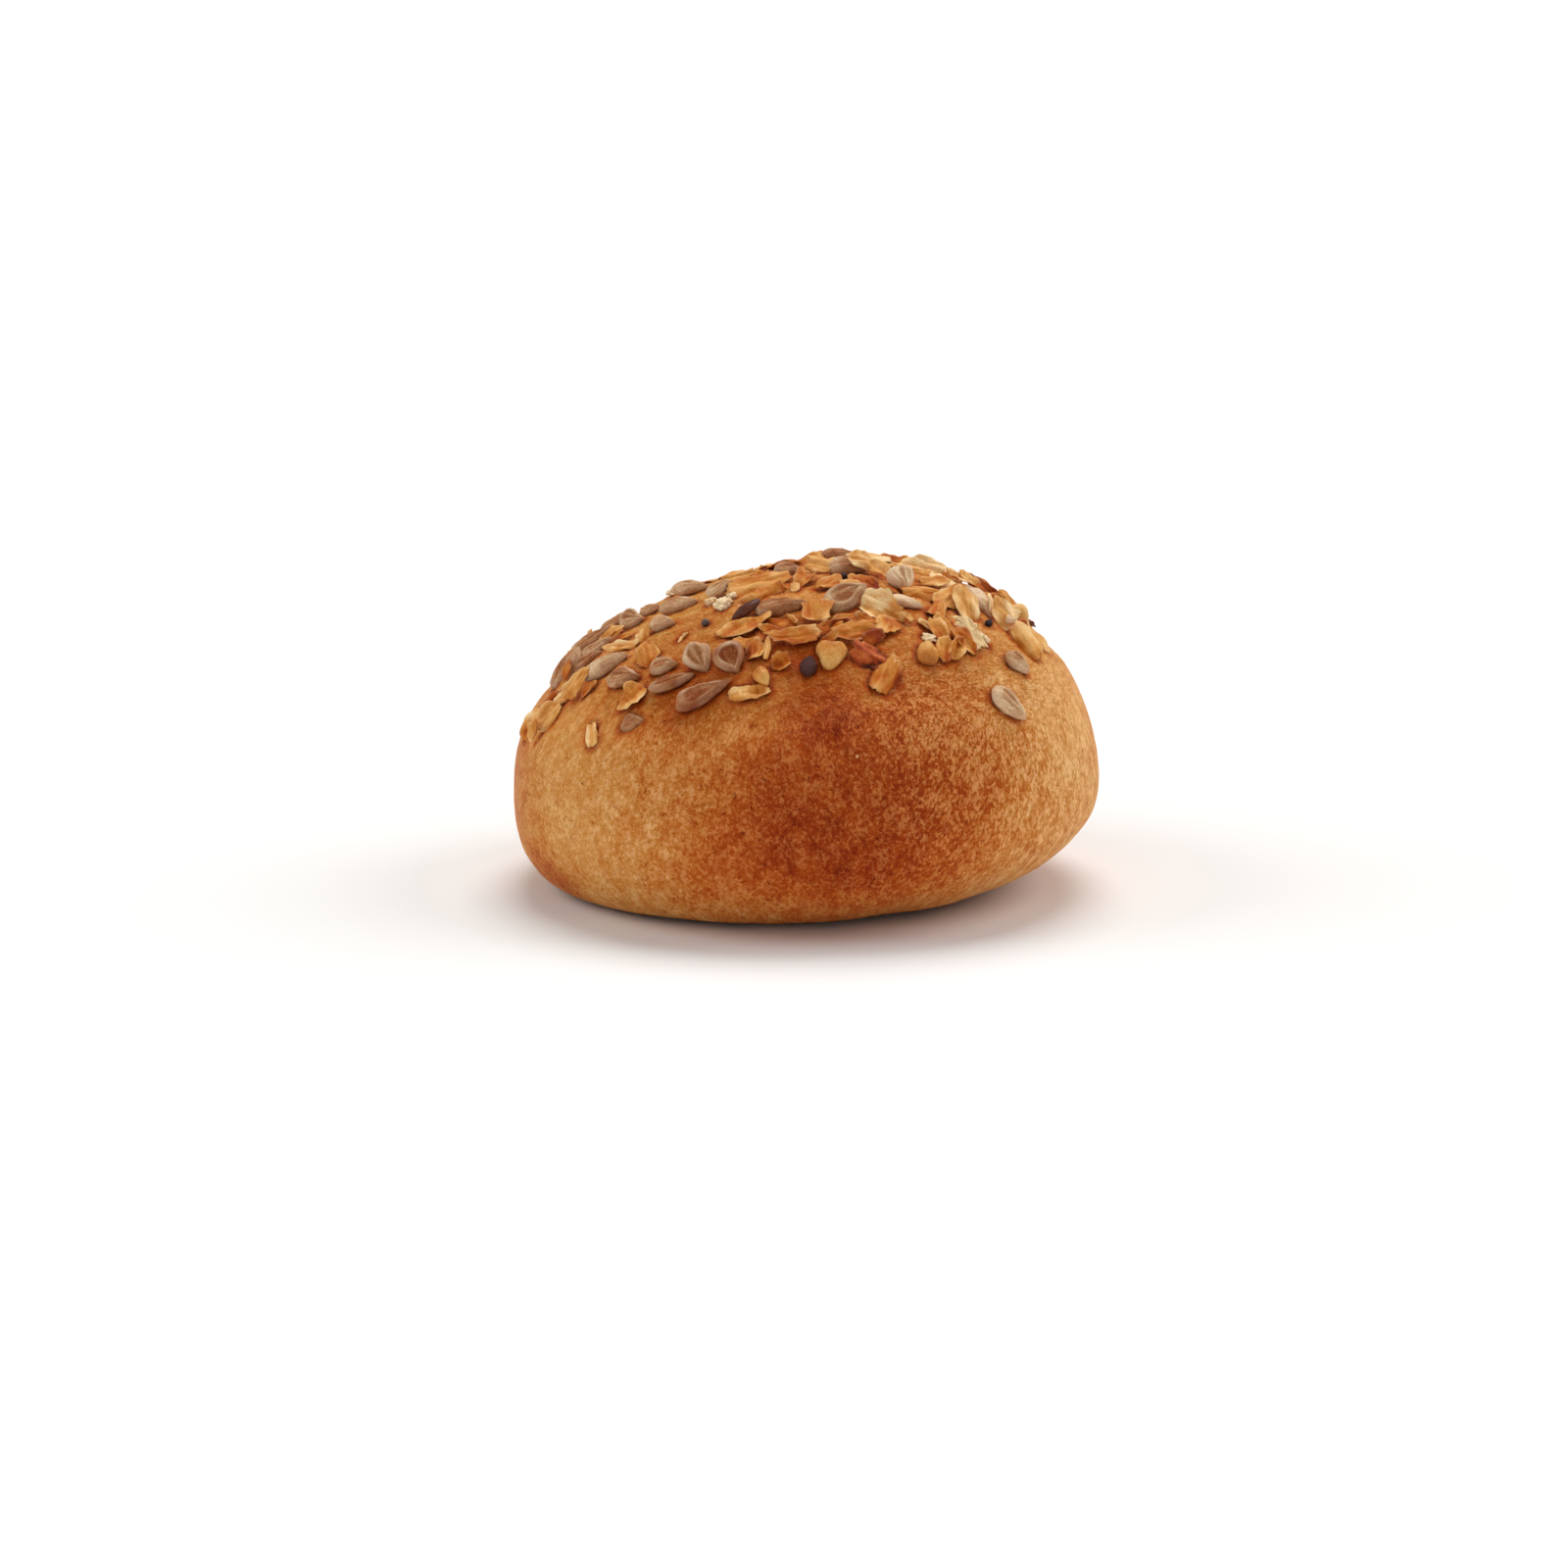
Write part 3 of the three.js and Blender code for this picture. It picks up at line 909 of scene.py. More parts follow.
# "at" in picture pixels, or "azimuth" in degrees and "height" in mm for what the picture doesn't show.
# "reach" in mm, "tall" stretches it upwards, "edge" is how sharply it ends.
brownAndShadePatches = [
    {"at": (835, 835), "reach": 23.0, "tall": 1.0, "add": 0.34, "edge": 3.0},
    {"at": (838, 800), "reach": 9.0, "tall": 1.7, "add": 0.22, "edge": 2.6},
    {"at": (888, 886), "reach": 10.0, "tall": 0.9, "add": 0.26, "edge": 2.4},
    {"at": (765, 860), "reach": 8.0, "tall": 1.0, "add": 0.14, "edge": 2.2},
    {"at": (715, 880), "reach": 6.0, "tall": 0.8, "add": 0.12, "edge": 2.0},
    {"at": (975, 836), "reach": 9.0, "tall": 1.0, "add": 0.26, "edge": 2.2},
    {"at": (900, 748), "reach": 8.0, "tall": 0.8, "add": 0.12, "edge": 2.2},
    {"at": (1020, 742), "reach": 6.0, "tall": 0.9, "add": 0.04, "edge": 2.2},
    {"at": (716, 826), "reach": 6.0, "tall": 1.0, "add": -0.08, "edge": 2.0},
    # painted shadow in the hollow under the flake above
    {"at": (808, 662), "reach": 2.8, "tall": 0.7, "add": 0.5, "edge": 2.0},
    {"at": (618, 716), "reach": 3.0, "tall": 1.0, "add": 0.14, "edge": 2.0},
    {"at": (789, 742), "reach": 4.0, "tall": 1.4, "add": -0.12, "edge": 2.0},
    {"at": (995, 697), "reach": 4.0, "tall": 0.8, "add": 0.10, "edge": 2.0},
    {"at": (832, 722), "reach": 6.0, "tall": 1.3, "add": 0.30, "edge": 5.0},
    {"at": (668, 736), "reach": 6.5, "tall": 0.7, "add": 0.30, "edge": 2.2},
    # painted shade in the crevices under the kernels here
    {"at": (715, 694), "reach": 7.5, "tall": 0.6, "add": 0.50, "edge": 2.6},
    # painted shadow under the flake above, as for the patch at (808, 662)
    {"at": (812, 668), "reach": 4.0, "tall": 0.8, "add": 0.40, "edge": 2.2},
    {"at": (712, 640), "reach": 7.0, "tall": 1.2, "add": 0.22, "edge": 2.2},
    # painted shade low on the left, where the side turns under
    {"at": (578, 905), "reach": 5.0, "tall": 1.0, "add": 0.22, "edge": 2.2},
    {"at": (590, 820), "reach": 13.0, "tall": 1.3, "add": -0.08, "edge": 2.4},
    {"at": (950, 712), "reach": 8.0, "tall": 1.0, "add": 0.18, "edge": 2.0},
    {"at": (922, 652), "reach": 5.0, "tall": 0.8, "add": 0.08, "edge": 2.0},
    {"at": (1009, 691), "reach": 1.6, "tall": 0.8, "add": -0.6, "edge": 2.0},
    {"at": (1090, 750), "reach": 13.0, "tall": 1.7, "add": -0.22, "edge": 2.0},
    {"azimuth": 20, "height": 24, "reach": 15.0, "tall": 0.8, "add": 0.24, "edge": 2.2},
    {"azimuth": 62, "height": 20, "reach": 17.0, "tall": 1.1, "add": 0.48, "edge": 2.4},
    {"azimuth": 88, "height": 12, "reach": 12.0, "tall": 0.8, "add": 0.24, "edge": 2.4},
    {"azimuth": 118, "height": 26, "reach": 14.0, "tall": 0.9, "add": 0.34, "edge": 2.8},
    {"azimuth": 150, "height": 12, "reach": 11.0, "tall": 0.8, "add": 0.22, "edge": 2.0},
    {"azimuth": 175, "height": 24, "reach": 9.0, "tall": 0.8, "add": 0.16, "edge": 2.0},
    {"azimuth": 330, "height": 11, "reach": 10.0, "tall": 0.8, "add": 0.10, "edge": 2.0},
    {"azimuth": 192, "height": 16, "reach": 9.0, "tall": 1.1, "add": 0.20, "edge": 2.2},
    {"azimuth": 206, "height": 6, "reach": 8.0, "tall": 0.7, "add": 0.26, "edge": 2.2},
]
browningBase = 0.20
# where the skin broke into pale blisters, and where it stayed smooth
blisterPatches = [
    {"at": (1040, 790), "reach": 18.0, "tall": 1.2, "add": 0.55, "edge": 2.4},
    {"at": (960, 760), "reach": 12.0, "tall": 1.0, "add": 0.30, "edge": 2.2},
    {"at": (930, 712), "reach": 9.0, "tall": 0.8, "add": 0.35, "edge": 2.2},
    {"at": (700, 800), "reach": 12.0, "tall": 1.0, "add": 0.20, "edge": 2.2},
    {"at": (585, 800), "reach": 10.0, "tall": 1.4, "add": -0.14, "edge": 2.2},
    {"azimuth": 60, "height": 18, "reach": 16.0, "tall": 1.0, "add": 0.40, "edge": 2.2},
    {"azimuth": 140, "height": 22, "reach": 16.0, "tall": 1.0, "add": 0.30, "edge": 2.2},
]
blisterBase = 0.62
browningWarp = {"wideSize": 10.0, "wide": 3.4, "smallSize": 3.2, "small": 1.2}


def patchPlace(patch):
    if "at" in patch:
        return crustUnder(*patch["at"], 0.0)[0] / mm
    turn = math.radians(patch["azimuth"])
    outward = Vector((math.cos(turn), math.sin(turn), 0))
    start = outward * 0.2 + Vector((0, 0, patch["height"] * mm))
    return crustTree.ray_cast(start, -outward, 0.3)[0] / mm


def warpedPlace(p):
    wide = noise.noise_vector(p / browningWarp["wideSize"]) * browningWarp["wide"]
    return p + wide + noise.noise_vector(p / browningWarp["smallSize"]) * browningWarp["small"]


def patchSum(warped, level, patches):
    for middle, patch in patches:
        away = warped - middle
        away.z /= patch["tall"]
        level += patch["add"] * bell(away.length / patch["reach"], patch["edge"])
    return level


def nearTheSeeds(skin):
    # how close each point lies to the topping, and a dent or a lip there
    tree = BVHTree.FromBMesh(everything)
    poolAndShade = skin.verts.layers.float.new("poolAndShade")
    skin.normal_update()
    moves = []
    for v in skin.verts:
        rise = 0.0
        if v.co.z > 20 * mm:
            found, _, _, away = tree.find_nearest(v.co, 4 * mm)
            if found:
                away = away / mm
                # darker near a seed: glaze gathered there, and painted shade beside it
                v[poolAndShade] = 1 - smoothStep(0.15, crustRelief["poolAndShadeReach"], away)
                covered = tree.ray_cast(v.co + v.normal * 0.02 * mm, v.normal, 2.5 * mm)[0]
                inside = tree.ray_cast(v.co - v.normal * 1.2 * mm, v.normal, 1.2 * mm)[0]
                if covered or inside:
                    rise = -crustRelief["dent"]
                else:
                    rise = crustRelief["lip"] * (1 - smoothStep(0.1, crustRelief["lipReach"], away))
        moves.append(v.normal * rise * mm)
    for v, move in zip(skin.verts, moves):
        v.co += move
    bmesh.ops.smooth_vert(skin, verts=[v for v in skin.verts if v[poolAndShade] > 0], factor=0.5,
                          use_axis_x=True, use_axis_y=True, use_axis_z=True)


def pressCreases(skin):
    for crease in creases:
        start, end = [crustUnder(*crease[key], 0.0)[0] for key in ("from", "to")]
        run = end - start
        for v in skin.verts:
            if (v.co - start).length > run.length + 5 * mm:
                continue
            share = min(max((v.co - start).dot(run) / run.length_squared, 0.0), 1.0)
            away = (v.co - start - run * share).length / mm
            depth = crease["depth"] * bell(away / crease["half"]) * math.sin(math.pi * (0.1 + 0.8 * share))
            v.co -= v.normal * depth * mm


def writeBrowning(skin):
    for name in ("browningAndShade", "blisters", "glaze"):
        skin.verts.layers.float.new(name)
    floats = skin.verts.layers.float
    browningAndShade, blisters, glaze = floats["browningAndShade"], floats["blisters"], floats["glaze"]
    brown = [(patchPlace(patch), patch) for patch in brownAndShadePatches]
    broken = [(patchPlace(patch), patch) for patch in blisterPatches]
    for v in skin.verts:
        warped = warpedPlace(v.co / mm)
        v[browningAndShade] = patchSum(warped, browningBase, brown)
        v[blisters] = patchSum(warped, blisterBase, broken)
        above = v.co.z - toppingEdge(v.co)
        v[glaze] = smoothStep(-toppingZone["fade"] * mm, toppingZone["fade"] * mm, above)


nearTheSeeds(skin)
pressCreases(skin)
writeBrowning(skin)
print("crust dented and browned")


# ---- finishes

def paint(red, green, blue):  # a screen colour, 0 to 255, as the shader's own
    def linear(c):
        c /= 255
        return c / 12.92 if c <= 0.04045 else ((c + 0.055) / 1.055) ** 2.4
    return (linear(red), linear(green), linear(blue), 1.0)


def feed(tree, socket, value):  # a value is a number, a colour or another node's output
    if isinstance(value, bpy.types.NodeSocket):
        tree.links.new(value, socket)
    else:
        socket.default_value = value


def addNode(tree, kind, inputs=None, **settings):
    made = tree.nodes.new("ShaderNode" + kind)
    for name, value in settings.items():
        setattr(made, name, value)
    for name, value in (inputs or {}).items():
        feed(tree, made.inputs[name], value)
    return made


def noiseOf(tree, place, scale, detail=2.0, rough=0.5, warp=0.0):
    return addNode(tree, "TexNoise", {"Vector": place, "Scale": scale, "Detail": detail,
                                      "Roughness": rough, "Distortion": warp}).outputs["Fac"]


def mathOf(tree, operation, *values, clamp=False):
    made = addNode(tree, "Math", operation=operation, use_clamp=clamp)
    for socket, value in zip(made.inputs, values):
        feed(tree, socket, value)
    return made.outputs[0]


def times(tree, *values):
    total = values[0]
    for value in values[1:]:
        total = mathOf(tree, "MULTIPLY", total, value)
    return total


def added(tree, level, value, share):  # the level and that share of a value
    return mathOf(tree, "MULTIPLY_ADD", value, share, level)


def swayed(tree, level, value, share, middle=0.5):  # the level, moved by how far a value is from its middle
    return added(tree, level, mathOf(tree, "SUBTRACT", value, middle), share)


def remap(tree, value, low, high, toLow=0.0, toHigh=1.0):
    return addNode(tree, "MapRange", {"Value": value, "From Min": low, "From Max": high, "To Min": toLow,
                                      "To Max": toHigh}, interpolation_type="SMOOTHSTEP").outputs["Result"]


def stretch(tree, place, scale):
    return addNode(tree, "Mapping", {"Vector": place, "Scale": scale}).outputs["Vector"]


def rampOf(tree, value, stops):
    made = addNode(tree, "ValToRGB", {"Fac": value})
    elements = made.color_ramp.elements
    while len(elements) < len(stops):
        elements.new(0.5)
    for element, (position, colour) in zip(elements, stops):
        element.position = position
        element.color = paint(*colour)
    return made.outputs["Color"]


def blendOf(tree, share, first, second, how="MIX"):
    made = addNode(tree, "Mix", data_type="RGBA", blend_type=how)
    for index, value in ((0, share), (6, first), (7, second)):
        feed(tree, made.inputs[index], value)
    return made.outputs[2]


def blendPlaces(tree, share, first, second):
    made = addNode(tree, "Mix", data_type="VECTOR")
    for index, value in ((0, share), (4, first), (5, second)):
        feed(tree, made.inputs[index], value)
    return made.outputs[1]


def attribute(tree, name, output="Fac"):
    return addNode(tree, "Attribute", attribute_name=name, attribute_type="GEOMETRY").outputs[output]


def newGroup(name, inputs, outputs):
    group = bpy.data.node_groups.new(name, "ShaderNodeTree")
    for label, kind in inputs:
        group.interface.new_socket(label, in_out="INPUT", socket_type="NodeSocket" + kind)
    for label in outputs:
        group.interface.new_socket(label, in_out="OUTPUT", socket_type="NodeSocketFloat")
    return group, group.nodes.new("NodeGroupInput").outputs, group.nodes.new("NodeGroupOutput").inputs


def useGroup(tree, group, **inputs):
    made = tree.nodes.new("ShaderNodeGroup")
    made.node_tree = group
    for name, value in inputs.items():
        feed(tree, made.inputs[name], value)
    return made.outputs


grainMix = {
    "finer": 2.1, "finerShare": 0.45,  # a second grain, that many times finer
    "clumped": 0.3, "clumpShare": 0.35,  # and one that gathers them
    "blisterRange": (0.47, 0.63), "gapRange": (0.36, 0.50),
}


def makeBakedGrain():  # pale broken skin, the dark gaps between it and their relief
    tree, given, out = newGroup("bakedGrain", [("Place", "Vector"), ("Fineness", "Float")],
                                ["Blisters", "Gaps", "Relief"])
    place, fineness = given["Place"], given["Fineness"]
    coarse = noiseOf(tree, place, fineness, 1.0, 0.5, 0.5)
    finer = noiseOf(tree, place, times(tree, fineness, grainMix["finer"]), 2.0, 0.6, 0.3)
    clumps = noiseOf(tree, place, times(tree, fineness, grainMix["clumped"]), 2.0, 0.5)
    relief = swayed(tree, coarse, finer, grainMix["finerShare"], coarse)
    relief = swayed(tree, relief, clumps, grainMix["clumpShare"])
    feed(tree, out["Blisters"], remap(tree, relief, *grainMix["blisterRange"]))
    feed(tree, out["Gaps"], remap(tree, relief, *grainMix["gapRange"], 1.0, 0.0))
    feed(tree, out["Relief"], relief)
    return tree


def makeSparseDots():  # a dot in some of the cells, such as pinholes or pale specks
    inputs = [("Place", "Vector"), ("Fineness", "Float"), ("Size", "Float"), ("Share", "Float")]
    tree, given, out = newGroup("sparseDots", inputs, ["Dots"])
    cells = addNode(tree, "TexVoronoi", {"Vector": given["Place"], "Scale": given["Fineness"]})
    red = addNode(tree, "SeparateColor", {"Color": cells.outputs["Color"]}).outputs[0]
    chosen = mathOf(tree, "LESS_THAN", red, given["Share"])
    softFrom = times(tree, given["Size"], 0.4)  # a dot fades over the rest of its size
    dot = remap(tree, cells.outputs["Distance"], softFrom, given["Size"], 1.0, 0.0)
    feed(tree, out["Dots"], times(tree, dot, chosen))
    return tree


bakedGrain = makeBakedGrain()
sparseDots = makeSparseDots()


def newFinish(name, roughness, specular, glow=0.0, glowReach=0.0, glowSpread=(1.0, 1.0, 1.0)):
    # glow is the share of light that goes in and comes out again, that many mm away, red farthest
    finish = bpy.data.materials.new(name)
    finish.use_nodes = True
    tree = finish.node_tree
    shader = tree.nodes["Principled BSDF"]
    shader.inputs["Roughness"].default_value = roughness
    shader.inputs["Specular IOR Level"].default_value = specular
    if glow:
        shader.inputs["Subsurface Weight"].default_value = glow
        shader.inputs["Subsurface Radius"].default_value = glowSpread
        shader.inputs["Subsurface Scale"].default_value = glowReach * mm
    return finish, tree, shader


def bumpOf(tree, height, distance, strength=1.0, normal=None):
    made = addNode(tree, "Bump", {"Height": height, "Distance": distance, "Strength": strength})
    if normal:
        feed(tree, made.inputs["Normal"], normal)
    return made.outputs["Normal"]


crustLook = {
    # colours from pale to dark
    "bake": [(0.0, (223, 160, 92)), (0.17, (209, 138, 66)), (0.34, (198, 114, 44)), (0.5, (185, 89, 27)),
             (0.66, (169, 70, 19)), (0.8, (152, 56, 14)), (1.0, (120, 37, 9))],
    "blister": [(0.0, (247, 197, 138)), (0.25, (230, 164, 101)), (0.5, (217, 139, 76)),
                (1.0, (184, 96, 47))],
    "skin": [(0.0, (212, 146, 70)), (0.35, (190, 106, 34)), (0.65, (171, 75, 10)), (1.0, (125, 42, 4))],
    # and from plain skin to right against a seed, where glaze gathers and shade is painted
    "poolAndShade": [(0.0, (202, 120, 50)), (0.5, (188, 86, 24)), (0.85, (164, 62, 14)), (1.0, (132, 44, 9))],
    "tray": [(0.0, (204, 140, 76)), (0.5, (166, 94, 42)), (1.0, (118, 58, 24))],
    "pinhole": (92, 32, 10),
    "paleSpeck": (246, 206, 152),
    "leftTint": (0.95, 1.0, 1.0, 1.0),  # a little less red on the left flank
    "leftTintOver": (-0.034, -0.012),  # metres along X, where it fades out
    "crownTint": (0.93, 1.0, 1.0, 1.0),  # and more golden between the seeds on the left of the crown
    "crownTintFrom": (-0.032, -0.020), "crownTintTo": (-0.014, 0.0),
    "levels": 1.18,  # browning at the dark end of the ramps
    "girth": 0.043,  # radius that the upright streaks are measured round
    "streaks": (0.95, 0.64),  # under 1 draws the blisters out up and down, at the left and at the right
    "streaksOver": (0.012, 0.036),
    "streaksEnd": (0.030, 0.042),  # height over which they give way to a grain that runs nowhere
    # finenesses are per metre, and each goes with how much it changes the browning
    "blotches": (200.0, 0.42),
    "mottle": (480.0, 0.62),
    "dust": (3000.0, 0.42),
    "pits": (1400.0, 0.38),
    "pitRange": (0.64, 0.72),
    "blisterFineness": 1750.0, "gaps": 0.24,
    "goldenShare": 0.75,  # of the skin's own colours where it is glazed
    "calm": 0.8,  # of the blisters there
    "poolAndShadeShare": 0.85,
    "pinholes": {"Fineness": 330.0, "Size": 0.08, "Share": 0.2},
    "pinholeShare": 0.85,  # of its own colour in a pinhole, and the same for a speck
    "paleSpecks": {"Fineness": 270.0, "Size": 0.08, "Share": 0.25},
    "paleSpeckShare": 0.7,
    "trayFineness": 240.0,
    "trayOver": (0.0002, 0.0016),  # height in metres of the face that lay on the tray
    "shine": {"specular": 0.04, "glow": 0.6, "glowReach": 1.3, "glowSpread": (1.0, 0.36, 0.12)},
    "roughness": 0.46, "blisterRoughness": 0.12, "glazeRoughness": -0.10, "trayRoughness": 0.2,
    "relief": 0.00045,
    "wrinkles": (900.0, 1.3), "wrinkleStretch": (0.7, 0.7, 1.6),
    "dustRelief": 0.2, "pitRelief": -0.6,
}


def streakedPlace(tree, place, apart):  # drawn out round the roll's side, and plain on its crown
    ring = addNode(tree, "CombineXYZ", {"X": apart["X"], "Y": apart["Y"]}).outputs["Vector"]
    ring = addNode(tree, "VectorMath", {0: ring}, operation="NORMALIZE").outputs["Vector"]
    girth = {0: ring, 3: crustLook["girth"]}
    ring = addNode(tree, "VectorMath", girth, operation="SCALE").outputs["Vector"]
    ring = addNode(tree, "SeparateXYZ", {"Vector": ring}).outputs
    drawnOut = remap(tree, apart["X"], *crustLook["streaksOver"], *crustLook["streaks"])
    upright = times(tree, apart["Z"], drawnOut)
    drawn = addNode(tree, "CombineXYZ", {"X": ring["X"], "Y": ring["Y"], "Z": upright}).outputs["Vector"]
    return blendPlaces(tree, remap(tree, apart["Z"], *crustLook["streaksEnd"]), drawn, place)


def sideTints(tree, apart, glaze, colour):
    plain = mathOf(tree, "SUBTRACT", 1.0, glaze)
    onLeft = times(tree, remap(tree, apart["X"], *crustLook["leftTintOver"], 1.0, 0.0), plain)
    colour = blendOf(tree, onLeft, colour, crustLook["leftTint"], "MULTIPLY")
    onCrown = times(tree, remap(tree, apart["X"], *crustLook["crownTintFrom"]),
                    remap(tree, apart["X"], *crustLook["crownTintTo"], 1.0, 0.0), glaze)
    return blendOf(tree, onCrown, colour, crustLook["crownTint"], "MULTIPLY")


def crustFinish():
    finish, tree, shader = newFinish("crust", crustLook["roughness"], **crustLook["shine"])
    place = addNode(tree, "TexCoord").outputs["Object"]
    apart = addNode(tree, "SeparateXYZ", {"Vector": place}).outputs
    skinPlace = streakedPlace(tree, place, apart)
    written = ("browningAndShade", "blisters", "glaze", "poolAndShade")
    browningAndShade, blisters, glaze, poolAndShade = [attribute(tree, name) for name in written]
    grain = useGroup(tree, bakedGrain, Place=skinPlace, Fineness=crustLook["blisterFineness"])
    blotch = noiseOf(tree, place, crustLook["blotches"][0], 3.0, 0.55, 0.4)
    mottle = noiseOf(tree, skinPlace, crustLook["mottle"][0], 3.0, 0.6, 0.3)
    dust = noiseOf(tree, skinPlace, crustLook["dust"][0], 1.0)
    pits = noiseOf(tree, skinPlace, crustLook["pits"][0], 2.0, 0.6, 0.8)
    pits = remap(tree, pits, *crustLook["pitRange"])

    level = swayed(tree, browningAndShade, blotch, crustLook["blotches"][1])
    level = swayed(tree, level, mottle, crustLook["mottle"][1])
    level = swayed(tree, level, dust, crustLook["dust"][1])
    level = added(tree, level, times(tree, grain["Gaps"], blisters), crustLook["gaps"])
    level = added(tree, level, pits, crustLook["pits"][1])
    level = mathOf(tree, "DIVIDE", level, crustLook["levels"])
    baked, golden = rampOf(tree, level, crustLook["bake"]), rampOf(tree, level, crustLook["skin"])
    colour = blendOf(tree, times(tree, glaze, crustLook["goldenShare"]), baked, golden)

    calm = remap(tree, glaze, 0.1, 0.9, 1.0, crustLook["calm"])
    shown = times(tree, grain["Blisters"], blisters, calm)
    colour = blendOf(tree, shown, colour, rampOf(tree, level, crustLook["blister"]))
    # glaze and painted shade beside the seeds, broken up by the mottle
    pooledAndShaded = times(tree, remap(tree, poolAndShade, 0.0, 0.8), remap(tree, mottle, 0.34, 0.60, 0.5, 1.0))
    pooledAndShaded = times(tree, pooledAndShaded, crustLook["poolAndShadeShare"])
    colour = blendOf(tree, pooledAndShaded, colour, rampOf(tree, poolAndShade, crustLook["poolAndShade"]))

    pinholes = useGroup(tree, sparseDots, Place=place, **crustLook["pinholes"])["Dots"]
    paleSpecks = useGroup(tree, sparseDots, Place=skinPlace, **crustLook["paleSpecks"])["Dots"]
    for dots, key in ((pinholes, "pinhole"), (paleSpecks, "paleSpeck")):
        share = times(tree, dots, crustLook[key + "Share"])
        colour = blendOf(tree, share, colour, paint(*crustLook[key]))
    colour = sideTints(tree, apart, glaze, colour)
    trayNoise = noiseOf(tree, place, crustLook["trayFineness"], 4.0, 0.6)
    tray = rampOf(tree, remap(tree, trayNoise, 0.3, 0.7), crustLook["tray"])
    onTray = remap(tree, apart["Z"], *crustLook["trayOver"], 1.0, 0.0)
    feed(tree, shader.inputs["Base Color"], blendOf(tree, onTray, colour, tray))

    roughness = added(tree, crustLook["roughness"], grain["Blisters"], crustLook["blisterRoughness"])
    roughness = added(tree, roughness, glaze, crustLook["glazeRoughness"])
    roughness = added(tree, roughness, onTray, crustLook["trayRoughness"])
    feed(tree, shader.inputs["Roughness"], roughness)

    wrinklePlace = stretch(tree, place, crustLook["wrinkleStretch"])
    wrinkles = noiseOf(tree, wrinklePlace, crustLook["wrinkles"][0], 3.0, 0.6, 1.2)
    height = times(tree, grain["Relief"], calm, blisters)
    height = added(tree, height, times(tree, wrinkles, glaze), crustLook["wrinkles"][1])
    height = added(tree, height, dust, crustLook["dustRelief"])
    height = added(tree, height, mathOf(tree, "ADD", pinholes, pits), crustLook["pitRelief"])
    feed(tree, shader.inputs["Normal"], bumpOf(tree, height, crustLook["relief"], 1.0))
    return finish


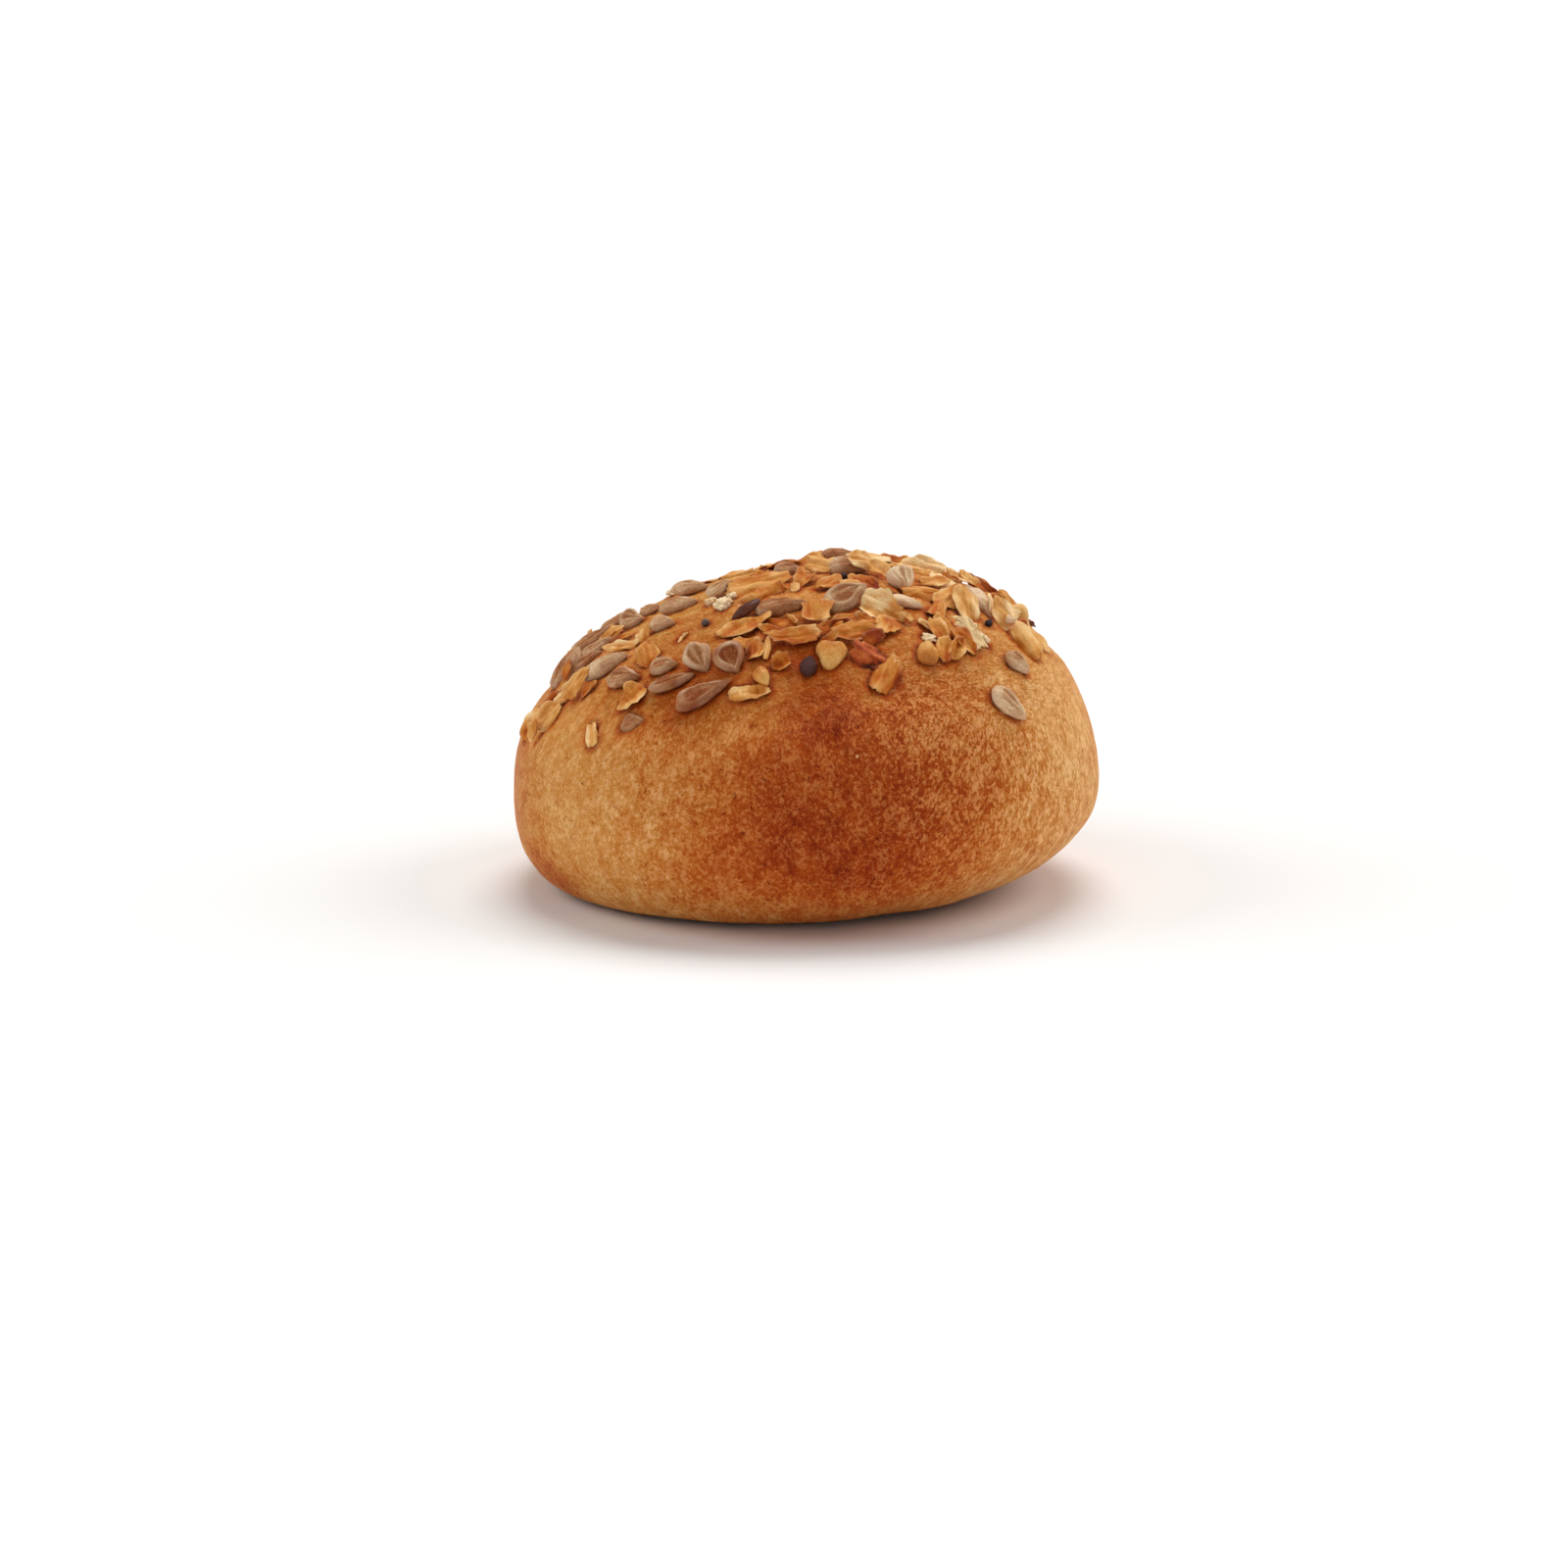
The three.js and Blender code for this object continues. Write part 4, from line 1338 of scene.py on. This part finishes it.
# Each topping's colours run from pale to dark. "rim" is the colour that its edges fade to, partly painted
# highlight and glow, "vary" how much its tone drifts, "streaks" how its lines are stretched along, across
# and through it, and "streak" and "specks" how much they change its tone.
toppingLooks = {
    "sunflowerKernels": {
        "colours": [(0.0, (232, 200, 162)), (0.25, (203, 161, 119)), (0.5, (177, 123, 79)),
                    (0.75, (156, 88, 44)), (1.0, (122, 46, 12))],
        "rim": (222, 196, 164), "rimShare": 0.66, "vary": 0.36, "specks": 0.36,
        "streaks": (0.22, 1.4, 0.8), "streakFineness": 2.0, "streak": 0.62,
        "roughness": 0.46, "relief": 0.00026, "glow": 0.5, "glowReach": 0.8,
    },
    "oatFlakes": {
        "colours": [(0.0, (255, 218, 162)), (0.25, (233, 173, 100)), (0.5, (207, 134, 56)),
                    (0.72, (190, 96, 22)), (1.0, (138, 50, 8))],
        "rim": (250, 208, 148), "rimShare": 0.5, "vary": 0.6, "specks": 0.2,
        "streaks": (0.34, 1.6, 1.0), "streakFineness": 1.6, "streak": 0.4,
        "roughness": 0.46, "specular": 0.08, "relief": 0.00022, "glow": 0.16, "glowReach": 0.4,
    },
    "grainHusks": {
        "colours": [(0.0, (232, 158, 92)), (0.4, (200, 102, 46)), (0.7, (160, 60, 18)),
                    (1.0, (72, 28, 14))],
        "rim": (222, 146, 84), "rimShare": 0.35, "vary": 0.9, "specks": 0.3,
        "streaks": (0.8, 1.1, 1.0), "streakFineness": 1.0, "streak": 0.5,
        "roughness": 0.48, "relief": 0.0003,
    },
    "brokenGrains": {
        "colours": [(0.0, (246, 208, 150)), (0.4, (222, 170, 94)), (0.7, (206, 132, 56)),
                    (1.0, (158, 84, 28))],
        "rim": (238, 194, 128), "rimShare": 0.1, "vary": 0.4, "specks": 0.3,
        "streaks": (0.8, 1.4, 1.0), "streakFineness": 1.4, "streak": 0.35,
        "roughness": 0.42, "relief": 0.00016,
    },
    "creamCrumbs": {
        "colours": [(0.0, (255, 228, 184)), (0.5, (236, 186, 126)), (1.0, (196, 126, 62))],
        "rim": (255, 226, 180), "rimShare": 0.4, "vary": 0.5, "specks": 0.5,
        "streaks": (1.0, 1.0, 1.0), "streakFineness": 2.4, "streak": 0.5,
        "roughness": 0.62, "relief": 0.0003, "glow": 0.0,
    },
    "flaxSeeds": {
        "colours": [(0.0, (120, 66, 42)), (0.5, (84, 44, 32)), (1.0, (46, 24, 18))],
        "rim": (128, 78, 52), "rimShare": 0.4, "vary": 0.5, "specks": 0.2,
        "streaks": (0.4, 1.4, 1.0), "streakFineness": 2.0, "streak": 0.4,
        "roughness": 0.3, "relief": 0.00006,
    },
    "blackSeeds": {
        "colours": [(0.0, (112, 64, 54)), (0.5, (76, 42, 38)), (1.0, (40, 22, 22))],
        "rim": (88, 52, 46), "rimShare": 0.2, "vary": 0.5, "specks": 0.7,
        "streaks": (1.0, 1.0, 1.0), "streakFineness": 2.6, "streak": 0.7,
        "roughness": 0.42, "relief": 0.0004,
    },
    "poppySeeds": {
        "colours": [(0.0, (122, 104, 98)), (0.5, (78, 62, 60)), (1.0, (34, 22, 22))],
        "rim": (80, 70, 70), "rimShare": 0.0, "vary": 0.5, "specks": 0.5,
        "streaks": (1.0, 1.0, 1.0), "streakFineness": 3.2, "streak": 0.6,
        "roughness": 0.42, "relief": 0.0002,
    },
}
everyTopping = {"specular": 0.13, "glow": 0.35, "glowReach": 0.5, "glowSpread": (1.0, 0.52, 0.26),
                "driftFineness": 0.36, "grainFineness": 2.6, "speckShare": 0.3}  # per mm


def toppingFinish(name):
    look = {**everyTopping, **toppingLooks[name]}
    shine = {key: look[key] for key in ("roughness", "specular", "glow", "glowReach", "glowSpread")}
    finish, tree, shader = newFinish(name, **shine)
    place = attribute(tree, "lines", "Vector")
    tone, rim = attribute(tree, "tone"), attribute(tree, "rim")
    drift = noiseOf(tree, place, look["driftFineness"], 2.0)
    streaks = noiseOf(tree, stretch(tree, place, look["streaks"]), look["streakFineness"], 3.0, 0.62, 0.3)
    grain = useGroup(tree, bakedGrain, Place=place, Fineness=look["grainFineness"])
    specks = look["specks"] * look["speckShare"]
    level = swayed(tree, tone, drift, look["vary"])
    level = swayed(tree, level, streaks, look["streak"])
    level = added(tree, level, grain["Gaps"], specks)
    level = added(tree, level, grain["Blisters"], -specks)
    colour = rampOf(tree, level, look["colours"])
    # edges faded to the rim colour: their own pale edge, with painted highlight and glow
    paleEdgeAndHighlight = mathOf(tree, "MULTIPLY", rim, remap(tree, drift, 0.3, 0.65, 0.4, 1.0), clamp=True)
    colour = blendOf(tree, times(tree, paleEdgeAndHighlight, look["rimShare"]), colour, paint(*look["rim"]))
    feed(tree, shader.inputs["Base Color"], colour)
    feed(tree, shader.inputs["Roughness"], added(tree, look["roughness"] - 0.08, streaks, 0.16))
    height = added(tree, streaks, grain["Relief"], 0.25)
    feed(tree, shader.inputs["Normal"], bumpOf(tree, height, look["relief"], 0.9))
    return finish


def showPiece(name, bm, finish):
    bmesh.ops.recalc_face_normals(bm, faces=bm.faces)
    for face in bm.faces:
        face.smooth = True
    mesh = bpy.data.meshes.new(name)
    bm.to_mesh(mesh)
    bm.free()
    mesh.materials.append(finish)
    piece = bpy.data.objects.new(name, mesh)
    bpy.context.scene.collection.objects.link(piece)
    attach(piece, "root")
    return piece


crust = showPiece("crust", skin, crustFinish())
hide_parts("roll")
everything.free()
for kindName, heap in heaps.items():
    showPiece(kindName, heap, toppingFinish(kindName))
print("finishes on", 1 + len(heaps), "pieces")


# ---- pale floor and soft studio light

studio = {
    "floorSide": 12.0,
    "floor": (246, 245, 243),
    "sky": 0.24,
    "lamps": [  # azimuth it shines from, elevation, strength, softness in degrees
        {"name": "topLight", "azimuth": 80, "elevation": 64, "power": 1.75, "soft": 36},
        {"name": "rightLight", "azimuth": 12, "elevation": 36, "power": 1.1, "soft": 40},
        {"name": "leftLight", "azimuth": 178, "elevation": 34, "power": 0.9, "soft": 40},
        {"name": "frontLight", "azimuth": 262, "elevation": 16, "power": 0.5, "soft": 60},
    ],
}


def makeFloor():
    bm = bmesh.new()
    bmesh.ops.create_grid(bm, x_segments=1, y_segments=1, size=studio["floorSide"] / 2)
    mesh = bpy.data.meshes.new("floor")
    bm.to_mesh(mesh)
    bm.free()
    finish, _, shader = newFinish("floor", roughness=0.9, specular=0.1)
    shader.inputs["Base Color"].default_value = paint(*studio["floor"])
    mesh.materials.append(finish)
    floor = bpy.data.objects.new("floor", mesh)
    bpy.context.scene.collection.objects.link(floor)


def makeLights():
    for lamp in studio["lamps"]:
        data = bpy.data.lights.new(lamp["name"], "SUN")
        data.energy = lamp["power"]
        data.angle = math.radians(lamp["soft"])
        light = bpy.data.objects.new(lamp["name"], data)
        turn, rise = math.radians(lamp["azimuth"]), math.radians(lamp["elevation"])
        source = Vector((math.cos(turn) * math.cos(rise), math.sin(turn) * math.cos(rise), math.sin(rise)))
        light.rotation_mode = "QUATERNION"
        light.rotation_quaternion = source.to_track_quat("Z", "Y")
        bpy.context.scene.collection.objects.link(light)
    world = bpy.data.worlds.new("studio")
    world.use_nodes = True
    world.node_tree.nodes["Background"].inputs["Strength"].default_value = studio["sky"]
    world.node_tree.nodes["Background"].inputs["Color"].default_value = (1, 1, 1, 1)
    bpy.context.scene.world = world


makeFloor()
makeLights()
bpy.context.scene.view_settings.view_transform = "Standard"
print("floor and lights set")
